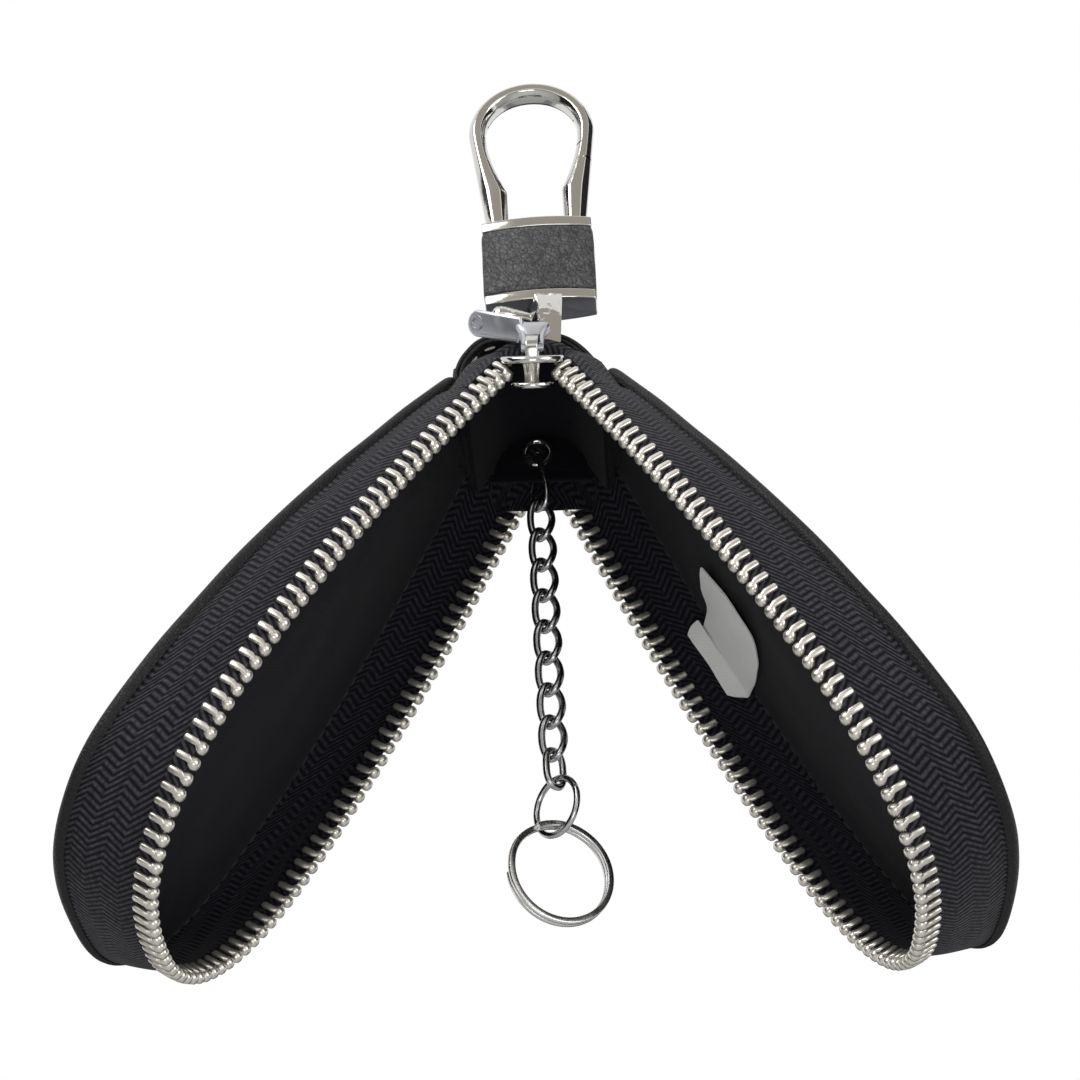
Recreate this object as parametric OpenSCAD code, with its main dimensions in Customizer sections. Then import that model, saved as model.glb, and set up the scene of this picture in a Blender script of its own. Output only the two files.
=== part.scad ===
// Zip key case hanging open from its swivel hook.
// Millimetres. The origin is the inside top of the shackle, where a rail or strap carries it.
// +Z is up along the hook, +X runs across the open case, +Y points to its far side.

/* [Shackle] */
// Inner radius of the shackle's bow
bow_in_r = 8.5; // [8.2:0.05:8.8]
// Outer radius of the bow
bow_r = 11.6; // [11.2:0.05:12]
// Front to back depth of the shackle
hook_depth = 4.4; // [4:0.1:4.6]
// Distance from the hook's seat down to the block
block_drop = 30.5; // [30:0.1:31.5]
// Outer half-width of the arms at the block
arm_foot_x = 9; // [8.8:0.05:9.1]
// Inner half-width of the arms at the block
arm_foot_in_x = 5; // [4.8:0.05:5.2]
// Height of the arms' straight feet above the block
kink_h = 8.1; // [7.6:0.1:8.6]
// Distance from the seat down to the gate's seam, on its inner side
seam_in_drop = 12.3; // [12:0.1:12.8]
// Same distance on the outer side
seam_out_drop = 15.9; // [15.5:0.1:16.4]
// Gap across the seam
seam_gap = 0.3; // [0.2:0.05:0.4]
// Angle by which the gate swings in
gate_swing = 20; // [16:1:20]
// Gap between the gate's foot and the block
gate_foot_gap = 0.3; // [0.28:0.01:0.4]

/* [Hook block] */
// Width of the block
block_w = 19.8; // [19.6:0.1:20.2]
// Depth of the block at its middle
block_d = 7.4; // [7.2:0.1:7.8]
// Depth of the block at its ends
block_end_d = 5.2; // [5:0.1:5.4]
// Height of the whole block
block_h = 18.4; // [18:0.1:19]
// Thickness of the two metal plates
plate_t = 2.1; // [1.9:0.1:2.3]
// Thickness of the leather sleeve
sleeve_t = 0.9; // [0.8:0.05:1]
// Gap of a glued or pressed seat
glue_gap = 0.05; // [0.04:0.01:0.08]
// Radius of the gate's pin
pin_r = 0.7; // [0.6:0.05:0.75]
// Running clearance of the pin in the gate
pin_clear = 0.05; // [0.04:0.01:0.08]
// Sideways place of the pin
pin_x = 7; // [6.9:0.05:7.1]
// Thickness of the gate's tang
tang_t = 2; // [1.8:0.05:2.1]
// Side clearance of moving parts inside the block
tang_clear = 0.15; // [0.12:0.01:0.2]
// Outer radius of the gate's spring
spring_r = 1; // [0.8:0.05:1.05]

/* [Swivel] */
// Radius of the swivel's post
post_r = 1.8; // [1.6:0.05:1.9]
// Radius of the post's head
post_head_r = 2.8; // [2.6:0.05:2.85]
// Running clearance round the post
post_clear = 0.08; // [0.05:0.01:0.1]
// Turn of the swivel ring about the post
ring_turn = 9; // [0:1:12]
// Outer half-depth of the ring
ring_y = 10.8; // [10.7:0.05:11.2]
// Inner half-depth of the ring
ring_in_y = 8.6; // [8.5:0.05:8.8]
// Width of the ring's shoulder
shoulder_w = 4.7; // [4.4:0.1:4.9]
// Width of the ring's foot
foot_w = 2.8; // [2.7:0.05:3]
// Radius of the ring's lower bar
bar_r = 1.3; // [1.2:0.05:1.35]

/* [Case hanging] */
// Distance from the hook's seat down to the bar's axis
bar_drop = 63.65; // [63.3:0.05:64]
// Height of the bar above the starts of the zip rows
bar_rise = 12.3; // [12.2:0.05:12.5]
// Sideways place of the bar in the loop
bar_shift = 1.2; // [0.8:0.1:1.4]
// Turn of the case about the bar
case_lean = 2.6; // [1.5:0.1:3.5]
// Angle of each half from the case's middle plane
half_angle = 30.5; // [30:0.1:31.5]

/* [Zip rows] */
// Distance from one tooth to the next
tooth_pitch = 2.55; // [2.5:0.01:2.6]
// Half the gap between the two rows at their start
row_x = 2.1; // [2:0.05:2.3]
// Half-width of a row at its start
row_w0 = 20; // [19.8:0.1:20.6]
// Half-width of a row at its widest
row_wm = 36; // [35.6:0.1:36.4]
// Distance down the half to the widest place
row_sm = 72; // [71:0.5:73]
// Distance down the half to the row's tip
row_l = 110; // [109:0.5:111]
// Squareness of the row's round end
row_round = 2.37; // [2.2:0.01:2.5]
// Length of a tooth, head to tail
tooth_l = 4; // [3.8:0.05:4.1]
// Width of a tooth across the row
tooth_w = 2.4; // [2.2:0.05:2.6]
// Width of a tooth's head
tooth_head_w = 1.7; // [1.5:0.05:1.9]
// Thickness of a tooth along the row
tooth_t = 1.3; // [1.2:0.05:1.45]
// Distance from a tooth's head to its jaw
tooth_jaw = 2.2; // [2:0.05:2.3]
// Gap between a tooth's jaw and the tape
jaw_gap = 0.13; // [0.12:0.01:0.16]

/* [Halves] */
// Half-width of a panel at its top
panel_w0 = 12.8; // [12.4:0.1:13.2]
// Distance by which a panel's side stands outside the row at its widest
panel_over = 1.8; // [1.6:0.1:2]
// Distance by which a panel's widest place lies below the row's
panel_sm_below = 11; // [10.5:0.5:11.5]
// Distance by which a panel's tip stands outside the row's
panel_beyond = 3.5; // [3.2:0.1:3.8]
// Squareness of a panel's round end
panel_round = 2.6; // [2.4:0.05:2.8]
// Distance down the half to a panel's top edge
panel_s0 = 0.7; // [0.6:0.05:1]
// Height of the panel's inner face above the row, at the top
panel_z0 = 10.5; // [10.45:0.05:10.8]
// Slope of the panel away from the row
panel_tilt = 2.03; // [1.8:0.01:2.2]
// Thickness of a panel with its turned edge
panel_t = 2.2; // [2.1:0.05:2.4]
// Thickness of the leather
leather_t = 0.9; // [0.8:0.05:1]
// Thickness of the lining cloth
lining_t = 0.5; // [0.4:0.05:0.55]
// Thickness of the zip's tape
tape_t = 0.7; // [0.6:0.05:0.75]
// Distance by which the panel's edge stands outside the tape
edge_proud = 1.2; // [1.1:0.1:1.5]

/* [Spine and loop] */
// Outer radius of the leather spine
spine_r = 10.6; // [10.5:0.05:10.65]
// Half-width of the spine, front to back
spine_y = 14; // [13.6:0.1:14.1]
// Thickness of the spine
spine_t = 1.2; // [1.1:0.05:1.25]
// Radius that the loop strap's curve follows
strap_r = 13.8; // [13.7:0.05:14]
// Half-width of the strap
strap_y = 8; // [7.8:0.05:8.1]
// Thickness of the strap
strap_t = 1.6; // [1.5:0.05:1.65]

/* [Tab and eyelet] */
// Distance of the lining tab behind the case's middle
tab_y = 12; // [11.6:0.1:12.4]
// Half-width of the tab's lower edge
tab_half_w = 9.6; // [9.4:0.1:9.8]
// Thickness of the tab
tab_t = 1; // [0.8:0.05:1.1]
// Distance of the tab's lower edge below the row starts
tab_drop = 1.5; // [1.2:0.1:1.8]
// Outer radius of the eyelet
eyelet_r = 2.95; // [2.8:0.05:3]
// Radius of the eyelet's hole
eyelet_hole_r = 1.6; // [1.55:0.05:1.7]
// Height of the eyelet above the tab's lower edge
eyelet_up = 5.65; // [5.5:0.05:5.8]

/* [Slider] */
// Distance of the slider's post in front of the case's middle
slider_front = 22.25; // [22.15:0.05:22.4]
// Distance of the slider's channel below the row starts
slider_below = 2.3; // [2.2:0.05:2.4]
// Upward pitch of the slider towards its tail
slider_pitch = 37; // [36.5:0.5:37.5]
// Half-width of the slider's top plate
slider_top_w = 5.35; // [5.2:0.05:5.4]
// Half-width of its lower plate
slider_low_w = 3.35; // [3.25:0.05:3.35]
// Thickness of the slider's plates
slider_t = 1.1; // [1:0.05:1.15]
// Height of the slider's channel
channel_h = 3.4; // [3.4:0.05:3.5]
// Distance from the post back to the slider's tail
slider_tail = 9.6; // [9.4:0.1:9.8]
// Distance from the post forward to the slider's mouth
slider_mouth = 2.2; // [2.1:0.05:2.4]
// Width of the puller's tongue
tongue_w = 4.3; // [4.1:0.05:4.4]
// Thickness of the tongue
tongue_t = 1.2; // [1.1:0.05:1.25]

/* [Chain] */
// Sideways place of the chain
chain_x = -2.3; // [-2.5:0.1:-2.1]
// Thickness of the chain's wire
wire = 1.2; // [1.15:0.01:1.22]
// Width of a curb link
link_w = 4.95; // [4.9:0.05:5.1]
// Distance from one curb link to the next
link_pitch = 6.15; // [6.1:0.01:6.2]
// Play between two links
link_gap = 0.12; // [0.11:0.01:0.14]
// Play between the jump ring and the key ring
ring_gap = 0.38; // [0.37:0.01:0.4]
// Twist of a curb link from its middle to each end
link_twist = 45; // [43:1:47]
// Number of curb links
link_count = 8; // [8:1:8]
// Outer length of the eyelet link
eyelet_link_l = 11.85; // [11.7:0.05:12]
// Width of the eyelet link
eyelet_link_w = 6; // [5.8:0.05:6.2]
// Outer length of the end link
end_link_l = 7.8; // [7.6:0.05:8]
// Outer radius of the jump ring
jump_r = 5.45; // [5.3:0.05:5.6]
// Thickness of the jump ring's wire
jump_wire = 1.1; // [1:0.05:1.15]
// Turn of the jump ring about the chain
jump_turn = -45; // [-47:1:-43]
// Outer radius of the key ring
key_r = 9.1; // [8.9:0.05:9.3]
// Width of the key ring's flat wire, seen from the side
key_band = 1.1; // [1:0.05:1.2]
// Thickness of the key ring's two turns together
key_t = 1.9; // [1.8:0.05:2]
// Turn of the key ring about the chain
key_turn = 24; // [22:1:26]

/* [Label] */
// Distance down the right half to the label's near edge
label_s0 = 33; // [32:0.5:34]
// Width of the label along the half
label_w = 14.5; // [14:0.5:15]
// Distance from the middle to the label's near point
label_y0 = 5; // [4:0.5:6]
// Thickness of the label
label_t = 0.25; // [0.2:0.05:0.3]

/* [Hidden] */

$fn = 48;
// One overrun serves every cut.
overrun = 0.5;
// Clearance between cloth or leather parts that move against each other.
soft_gap = 0.3;

// Heights of the block's parts in the hook's frame.
block_top = -block_drop;
block_bottom = -block_drop - block_h;
core_top = block_top - plate_t;
core_bottom = block_bottom + plate_t;
// The gate's pin lies just under the top plate.
pin_drop_in_core = 1;
pin_z = core_top - pin_drop_in_core;
// The gate's heel presses the spring.
heel_reach = 3.8;
heel_t = 1.2;
spring_reach = 3;
spring_x = pin_x - spring_reach;
spring_l = 4.5;
tang_below = 1.4;
// The tang reaches up into the gate's foot, which slopes so that it clears the block.
tang_top = block_top + 2 * gate_foot_gap + (pin_x - arm_foot_in_x) * tan(gate_swing);

// Place of the swivel post's head and of the ring's shoulder.
head_t = 1.5;
head_z = core_bottom + glue_gap + post_clear;
shoulder_gap = 1.1;
shoulder_top = block_drop + block_h + shoulder_gap;
shoulder_fall = 2.3;
shoulder_side = shoulder_top + shoulder_fall;
shoulder_low = shoulder_side + shoulder_fall;
shoulder_t = 3.7;
shoulder_in = shoulder_top + shoulder_t;
shoulder_in_fall = 1.7;
shoulder_in_low = shoulder_in + shoulder_in_fall;
shoulder_y = ring_y - bar_r;
shoulder_top_y = 3;
shoulder_in_y = 4;
// The ring's side lobe.
lobe_r = 1.9;
lobe_big_r = 2.2;
lobe_x = -7;
lobe_y = -4;
lobe_below = 0.39;
lobe_z = -shoulder_side - lobe_below;

// Case frame values.
spine_zc = -0.5;
strap_xc = -0.7;
strap_zc = 2.6;
// Angle round the strap's middle and share of strap_r, from the left foot to the right one.
strap_shares = [[161, 1.05], [151, 1.11], [139, 1.14], [125, 1.16], [109, 1.07], [87, 1.01],
    [68, 1.04], [48, 1], [23, 0.97]];
spine_foot_s = 6.5;
strap_foot_s = 5.5;
strap_foot_z = panel_z0 - 0.5 * soft_gap;

// Steps along a row's straight flank and round its end.
flank_steps = 13;
end_steps = 20;
// The tape of a half starts here, clear of the slider on the near side.
near_start_s = 9.4;
far_start_s = 0.8;
near_gusset_end_s = 9;
tape_foot_gap = 0.1;
tape_z0 = tooth_jaw + tape_foot_gap;
tape_z1 = tooth_l + 0.25 * tape_t;

// A panel's outline follows the row's.
panel_wm = row_wm + panel_over;
panel_sm = row_sm + panel_sm_below;
panel_l = row_l + panel_beyond;

// Octagon of the shackle's section, in shares of its half-width and half-depth.
rim_shares = [[1, 0.45], [0.45, 1], [-0.45, 1], [-1, 0.45], [-1, -0.45], [-0.45, -1],
    [0.45, -1], [1, -0.45]];

// Heights of the chain, from the eyelet down.
wire_step = wire + link_gap;
eyelet_fall = eyelet_up - tab_drop - bar_rise;
eyelet_side = (chain_x - eyelet_fall * sin(case_lean)) / cos(case_lean);
eyelet_z = eyelet_fall * cos(case_lean) - eyelet_side * sin(case_lean) - bar_drop;
eyelet_link_low = 0.55;
eyelet_top_z = eyelet_z - eyelet_link_low;
eyelet_low_z = eyelet_top_z - (eyelet_link_l - wire);
link_a = (link_pitch + wire_step) / 2;
link_b = (link_w - wire) / 2;
link_1_z = eyelet_low_z + wire_step - link_a;
end_link_a = (end_link_l - wire) / 2;
end_link_z = link_1_z - (link_count - 1) * link_pitch - link_a + wire_step - end_link_a;
jump_rc = jump_r - jump_wire / 2;
jump_z = end_link_z - end_link_a + (wire + jump_wire) / 2 + link_gap - jump_rc;
key_z = jump_z - jump_rc + (jump_wire + key_band) / 2 + ring_gap - (key_r - key_band / 2);
link_rings = 28;
link_sides = 6;
link_square = 2.6;

// Puller: its bar lies under the crown, and its tongue leans left against the strap.
bar_pull_r = 0.6;
crown_w = 3.5;
crown_y0 = 2;
crown_y1 = 9;
crown_h = 3.3;
crown_t = 1;
crown_foot = 1.3;
pull_y = 5.5;
pull_up = 1.25;
cheek_t = 0.9;
cheek_gap = 0.25;
cheek_w = 1.8;
tongue_root = [-2.35, -18.6, 9.2];
tongue_end = [-11.25, -13.1, 15.3];
tongue_hole_r = 0.9;
// Direction across the tongue before it is squared to its length.
tongue_lie = [0, -0.53, 0.85];

function unit(v) = v / norm(v);

// Half-width of a U outline at the distance s down the half.
function flank_h(w0, wm, sm, s) = w0 + (wm - w0) * sin(90 * s / sm);

// One side of a U outline, top to tip, as [distance down, half-width].
function side_points(w0, wm, sm, l, p, s0) = concat(
    [for (i = [0:flank_steps - 1]) let (s = s0 + (sm - s0) * i / flank_steps)
        [s, flank_h(w0, wm, sm, s)]],
    [for (i = [0:end_steps]) let (t = 90 * i / end_steps)
        [sm + (l - sm) * pow(sin(t), 2 / p), wm * pow(max(0, cos(t)), 2 / p)]]);

// A whole U: down the near side, round the tip and up the far side.
function u_points(near, far) = concat([for (q = near) [q[0], -q[1]]],
    [for (i = [len(far) - 2:-1:0]) far[i]]);

function row_side(s0) = side_points(row_w0, row_wm, row_sm, row_l, row_round, s0);
function panel_side(s0, inset) = side_points(panel_w0 - inset, panel_wm - inset, panel_sm,
    panel_l - inset, panel_round, s0);
function row_h(s) = flank_h(row_w0, row_wm, row_sm, s);
function panel_h(s) = flank_h(panel_w0, panel_wm, panel_sm, s);
function panel_face(s) = panel_z0 + s * tan(panel_tilt);

// Unit normal of a flat path at point i, to its outer side.
function path_normal(path, i) = let (a = path[max(0, i - 1)], b = path[min(len(path) - 1, i + 1)],
    d = unit(b - a)) [d[1], -d[0]];

// Running length of a path at each of its points.
function running(path, i = 0, sum = 0) = i >= len(path) - 1 ? [sum]
    : concat([sum], running(path, i + 1, sum + norm(path[i + 1] - path[i])));

// A point given in a half's own axes, in the case frame. side is 1 on the right, -1 on the left.
function half_point(side, s, y, z) = [
    side * (row_x + z * cos(half_angle) + s * sin(half_angle)), y,
    z * sin(half_angle) - s * cos(half_angle)];

// Faces of a tube of n rings of m points, clockwise about its travel, closed or capped.
function tube_sides(n, m, closed) = [for (i = [0:closed ? n - 1 : n - 2]) for (j = [0:m - 1])
    let (a = i * m + j, b = i * m + (j + 1) % m, k = (i + 1) % n,
        c = k * m + (j + 1) % m, d = k * m + j) each [[a, b, c], [a, c, d]]];
function tube_faces(n, m) = concat([[for (j = [m - 1:-1:0]) j]],
    [[for (j = [0:m - 1]) (n - 1) * m + j]], tube_sides(n, m, false));

// Frame of the case, of one half and of the slider.
module case_frame() {
    translate([0, 0, -bar_drop]) rotate([0, case_lean, 0]) translate([-bar_shift, 0, -bar_rise])
        children();
}
module half_frame(side) {
    case_frame() {
        if (side > 0) translate([row_x, 0, 0]) rotate([0, 90 - half_angle, 0]) children();
        else mirror([1, 0, 0]) translate([row_x, 0, 0]) rotate([0, 90 - half_angle, 0]) children();
    }
}
module panel_frame(side) {
    half_frame(side) translate([0, 0, panel_z0]) rotate([0, -panel_tilt, 0]) children();
}
module slider_frame() {
    case_frame() translate([0, -slider_front, -slider_below]) rotate([slider_pitch, 0, 0])
        children();
}

// Shackle and gate: a band swept along stations of [inner point, outer point].
module band_sweep(stations) {
    m = len(rim_shares);
    points = [for (st = stations) let (c = (st[0] + st[1]) / 2, r = (st[1] - st[0]) / 2)
        for (q = rim_shares)
            [c[0] + r[0] * q[0], q[1] * hook_depth / 2, c[1] + r[1] * q[0]]];
    polyhedron(points, tube_faces(len(stations), m), convexity = 8);
}
arm_len = block_drop - bow_in_r;
function arm_out(z) = arm_foot_x + (bow_r - arm_foot_x) * (z + block_drop) / arm_len;
function arm_in(z) = z < kink_h - block_drop ? arm_foot_in_x
    : arm_foot_in_x + (bow_in_r - arm_foot_in_x)
        * cos(90 * (-z - bow_in_r) / (arm_len - kink_h));
function arm_station(side, z) = [[side * arm_in(z), z], [side * arm_out(z), z]];
function seam_station(dz) = [[arm_in(-seam_in_drop), dz - seam_in_drop],
    [arm_out(-seam_out_drop), dz - seam_out_drop]];
kink_z = kink_h - block_drop;
arm_steps = 5;
bow_steps = 12;

module shackle() {
    left = concat([arm_station(-1, block_top - plate_t), arm_station(-1, kink_z)],
        [for (i = [1:arm_steps - 1]) arm_station(-1, kink_z + (-bow_in_r - kink_z) * i / arm_steps)]);
    bow = [for (i = [0:bow_steps]) let (t = 180 - 180 * i / bow_steps)
        [[bow_in_r * cos(t), bow_in_r * sin(t) - bow_in_r],
            [bow_r * cos(t), bow_r * sin(t) - bow_in_r]]];
    color("silver") band_sweep(concat(left, bow, [seam_station(0)]));
}

module gate() {
    top = seam_in_drop + seam_gap;
    low = block_drop - kink_h;
    arm = concat([seam_station(-seam_gap)],
        [for (i = [2:arm_steps]) arm_station(1, -top - (low - top) * i / arm_steps)],
        [arm_station(1, block_top)]);
    color("silver") difference() {
        union() {
            difference() {
                band_sweep(arm);
                below_plate_top(0);
                below_plate_top(gate_swing);
            }
            translate([0, tang_t / 2, 0]) rotate([90, 0, 0]) linear_extrude(tang_t) polygon([
                [arm_foot_in_x, tang_top], [arm_foot_x - sleeve_t, tang_top],
                [arm_foot_x - sleeve_t, pin_z - tang_below], [pin_x - pin_r, pin_z - tang_below],
                [spring_x + spring_r + tang_clear, pin_z - heel_t / 2],
                [pin_x - heel_reach, pin_z - heel_t / 2], [pin_x - heel_reach, pin_z + heel_t / 2],
                [arm_foot_in_x, pin_z + heel_t / 2]]);
        }
        gate_axis() cylinder(h = block_d + overrun, r = pin_r + pin_clear, center = true);
    }
}

module gate_axis() {
    translate([pin_x, 0, pin_z]) rotate([90, 0, 0]) children();
}
// Where the gate's foot would enter the block once it has swung in by an angle.
module below_plate_top(swing) {
    translate([pin_x, 0, pin_z]) rotate([0, swing, 0])
        translate([-bow_r, -hook_depth, block_top + gate_foot_gap - pin_z - bow_r])
            cube([2 * bow_r, 2 * hook_depth, bow_r]);
}

pin_l = block_end_d - 2 * sleeve_t - 2 * glue_gap;
module gate_pin() {
    color("gray") gate_axis() cylinder(h = pin_l, r = pin_r, center = true);
}

module gate_spring() {
    top = pin_z - heel_t / 2 - tang_clear;
    color("silver") translate([spring_x, 0, top - spring_l]) cylinder(h = spring_l, r = spring_r);
}

// Lens-shaped outline of the block, drawn in by a margin.
module lens(h, margin) {
    bulge = (block_d - block_end_d) / 2;
    half = block_w / 2;
    arc_r = (half * half + bulge * bulge) / (2 * bulge);
    intersection() {
        translate([0, block_d / 2 - arc_r, 0]) cylinder(h = h, r = arc_r - margin, $fn = 360);
        translate([0, arc_r - block_d / 2, 0]) cylinder(h = h, r = arc_r - margin, $fn = 360);
        translate([margin - half, -block_d, 0]) cube([block_w - 2 * margin, 2 * block_d, h]);
    }
}

slot_in_x = pin_x - ((pin_x - arm_foot_in_x) + (block_top - pin_z) * sin(gate_swing)) / cos(gate_swing)
    - tang_clear;
module top_plate() {
    foot_gap = glue_gap;
    color("silver") difference() {
        translate([0, 0, core_top]) lens(plate_t, 0);
        translate([-arm_foot_x - foot_gap, -hook_depth / 2 - foot_gap, core_top - overrun])
            cube([arm_foot_x - arm_foot_in_x + 2 * foot_gap, hook_depth + 2 * foot_gap,
                plate_t + 2 * overrun]);
        translate([slot_in_x, -tang_t / 2 - tang_clear, core_top - overrun])
            cube([arm_foot_x + tang_clear - slot_in_x, tang_t + 2 * tang_clear,
                plate_t + 2 * overrun]);
    }
}

module block_core() {
    cavity_h = core_top - pin_z + tang_below + plate_t;
    heel_x = pin_x - heel_reach - 2 * tang_clear;
    spring_top = pin_z - heel_t / 2 - tang_clear;
    color("gray") difference() {
        translate([0, 0, core_bottom + glue_gap])
            lens(core_top - core_bottom - 2 * glue_gap, sleeve_t + glue_gap);
        translate([heel_x, -tang_t / 2 - tang_clear, core_top - cavity_h])
            cube([block_w, tang_t + 2 * tang_clear, cavity_h + overrun]);
        gate_axis() cylinder(h = block_d + overrun, r = pin_r, center = true);
        translate([spring_x, 0, spring_top - spring_l - glue_gap])
            cylinder(h = spring_l + plate_t, r = spring_r + tang_clear);
        translate([0, 0, core_bottom - overrun])
            cylinder(h = overrun + head_t + 3 * post_clear + glue_gap, r = post_head_r + 2 * post_clear);
    }
}

module bottom_plate() {
    color("silver") difference() {
        translate([0, 0, block_bottom]) lens(plate_t, 0);
        translate([0, 0, block_bottom - overrun])
            cylinder(h = plate_t + 2 * overrun, r = post_r + post_clear);
    }
}

module leather_sleeve() {
    color("#1b1b1c") difference() {
        translate([0, 0, core_bottom + glue_gap])
            lens(core_top - core_bottom - 2 * glue_gap, 0);
        translate([0, 0, core_bottom - overrun])
            lens(core_top - core_bottom + 2 * overrun, sleeve_t);
    }
}

module swivel_post() {
    color("silver") {
        translate([0, 0, head_z]) cylinder(h = head_t, r = post_head_r);
        translate([0, 0, -shoulder_top + glue_gap])
            cylinder(h = head_z + shoulder_top, r = post_r);
    }
}

module swivel_ring() {
    foot_z = -bar_drop;
    color("silver") union() {
        rotate([0, 0, ring_turn]) {
            intersection() {
                rotate([90, 0, 90]) translate([0, 0, -shoulder_w]) linear_extrude(2 * shoulder_w)
                    difference() {
                        polygon([[-shoulder_top_y, -shoulder_top], [-shoulder_y, -shoulder_side],
                            [-ring_y, -shoulder_low], [-ring_y, foot_z], [ring_y, foot_z],
                            [ring_y, -shoulder_low], [shoulder_y, -shoulder_side],
                            [shoulder_top_y, -shoulder_top]]);
                        polygon([[-shoulder_in_y, -shoulder_in], [-ring_in_y, -shoulder_in_low],
                            [-ring_in_y, foot_z - overrun], [ring_in_y, foot_z - overrun],
                            [ring_in_y, -shoulder_in_low], [shoulder_in_y, -shoulder_in]]);
                    }
                rotate([90, 0, 0]) translate([0, 0, -ring_y - overrun])
                    linear_extrude(2 * ring_y + 2 * overrun) polygon([
                        [-foot_w / 2, foot_z - bar_r], [-shoulder_w / 2, -shoulder_side],
                        [-shoulder_w / 2, -shoulder_top + overrun],
                        [shoulder_w / 2, -shoulder_top + overrun],
                        [shoulder_w / 2, -shoulder_side], [foot_w / 2, foot_z - bar_r]]);
            }
            translate([0, 0, foot_z]) rotate([90, 0, 0])
                cylinder(h = 2 * ring_y, r = bar_r, center = true);
        }
        hull() {
            translate([lobe_x, lobe_y, lobe_z]) sphere(r = lobe_r, $fn = 32);
            translate([0, 0, lobe_z]) sphere(r = lobe_big_r, $fn = 32);
        }
    }
}

// A strip of a given thickness under a line of points, in the case's XZ plane.
function strip(line, t) = let (n = len(line),
    inner = [for (i = [n - 1:-1:0])
        let (d = unit(line[min(n - 1, i + 1)] - line[max(0, i - 1)])) line[i] + t * [-d[1], d[0]]])
    concat(line, inner);
module strip_solid(line, t, half_y) {
    case_frame() translate([0, half_y, 0]) rotate([90, 0, 0]) linear_extrude(2 * half_y)
        polygon(strip(line, t));
}
function xz(p) = [p[0], p[2]];
function arch_line(r, foot_s) = let (foot_z = r + spine_zc * sin(half_angle)
    - row_x * cos(half_angle), steps = 14)
    concat([xz(half_point(1, foot_s, 0, foot_z))],
        [for (i = [0:steps]) let (t = half_angle + (180 - 2 * half_angle) * i / steps)
            [r * cos(t), r * sin(t) + spine_zc]],
        [xz(half_point(-1, foot_s, 0, foot_z))]);

module spine_leather() {
    color("#1b1b1c") strip_solid(arch_line(spine_r, spine_foot_s), spine_t, spine_y);
}
module spine_lining() {
    color("#101011") strip_solid(arch_line(spine_r - spine_t - glue_gap, spine_foot_s - spine_t),
        lining_t, spine_y);
}
module loop_strap() {
    line = concat([xz(half_point(1, strap_foot_s, 0, strap_foot_z)),
            xz(half_point(1, panel_s0, 0, strap_foot_z))],
        [for (i = [len(strap_shares) - 1:-1:0]) let (q = strap_shares[i])
            [strap_xc + strap_r * q[1] * cos(q[0]), strap_zc + strap_r * q[1] * sin(q[0])]],
        [xz(half_point(-1, panel_s0, 0, strap_foot_z)),
            xz(half_point(-1, strap_foot_s, 0, strap_foot_z))]);
    color("#1b1b1c") strip_solid(line, strap_t, strap_y);
}

// Cloth between the two tapes at one end of the case. dir is -1 near, 1 far.
fan_steps = 12;
tuck_pace = 1.7;
gusset_in_z = tape_z1 + 0.15 * tape_t;
gusset_out_z = panel_z0 - soft_gap;
gusset_out_y = spine_y + tape_t;
function gusset_out_h(s) = max(panel_h(s) - edge_proud, gusset_out_y);
function gusset_arm(side, dir, s) = [half_point(side, s, dir * row_h(s), gusset_in_z),
    half_point(side, max(s, panel_s0), dir * gusset_out_h(s), gusset_out_z)];
module gusset(dir, arm_s, tuck) {
    start_in = half_point(1, 0, 0, gusset_in_z);
    start_out = half_point(1, panel_s0, 0, gusset_out_z);
    phi_in = atan2(start_in[2], start_in[0]);
    phi_out = atan2(start_out[2], start_out[0]);
    rho_in = norm(start_in);
    rho_out = norm(start_out);
    rise = rho_out - spine_r + spine_t / 2;
    fan = [for (i = [0:fan_steps]) let (k = i / fan_steps, q = sin(180 * k), f = min(1, tuck_pace * q),
            a = phi_in + (180 - 2 * phi_in) * k, b = phi_out + (180 - 2 * phi_out) * k,
            ro = rho_out - rise * min(1, 2 * q))
        [[rho_in * cos(a), dir * (row_w0 - tuck * f), rho_in * sin(a)],
            [ro * cos(b), dir * gusset_out_y, ro * sin(b)]]];
    right = [for (i = [len(arm_s) - 1:-1:0]) gusset_arm(1, dir, arm_s[i])];
    left = [for (s = arm_s) gusset_arm(-1, dir, s)];
    stations = concat(right, fan, left);
    n = len(stations);
    points = [for (i = [0:n - 1])
        let (t = stations[min(n - 1, i + 1)][0] - stations[max(0, i - 1)][0]
                + stations[min(n - 1, i + 1)][1] - stations[max(0, i - 1)][1],
            p = stations[i][0], q = stations[i][1], v = tape_t / 2 * unit(cross(t, q - p)))
        each [p + v, q + v, q - v, p - v]];
    case_frame() polyhedron(points, tube_faces(n, 4), convexity = 8);
}
module near_gusset() {
    color("#151516") gusset(-1, [near_gusset_end_s / 3, near_gusset_end_s * 2 / 3,
        near_gusset_end_s], row_w0 - spine_y - 1.2 * tape_t);
}
module far_gusset() {
    color("#151516") gusset(1, [], row_w0 - spine_y - 2 * tape_t);
}

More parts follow.
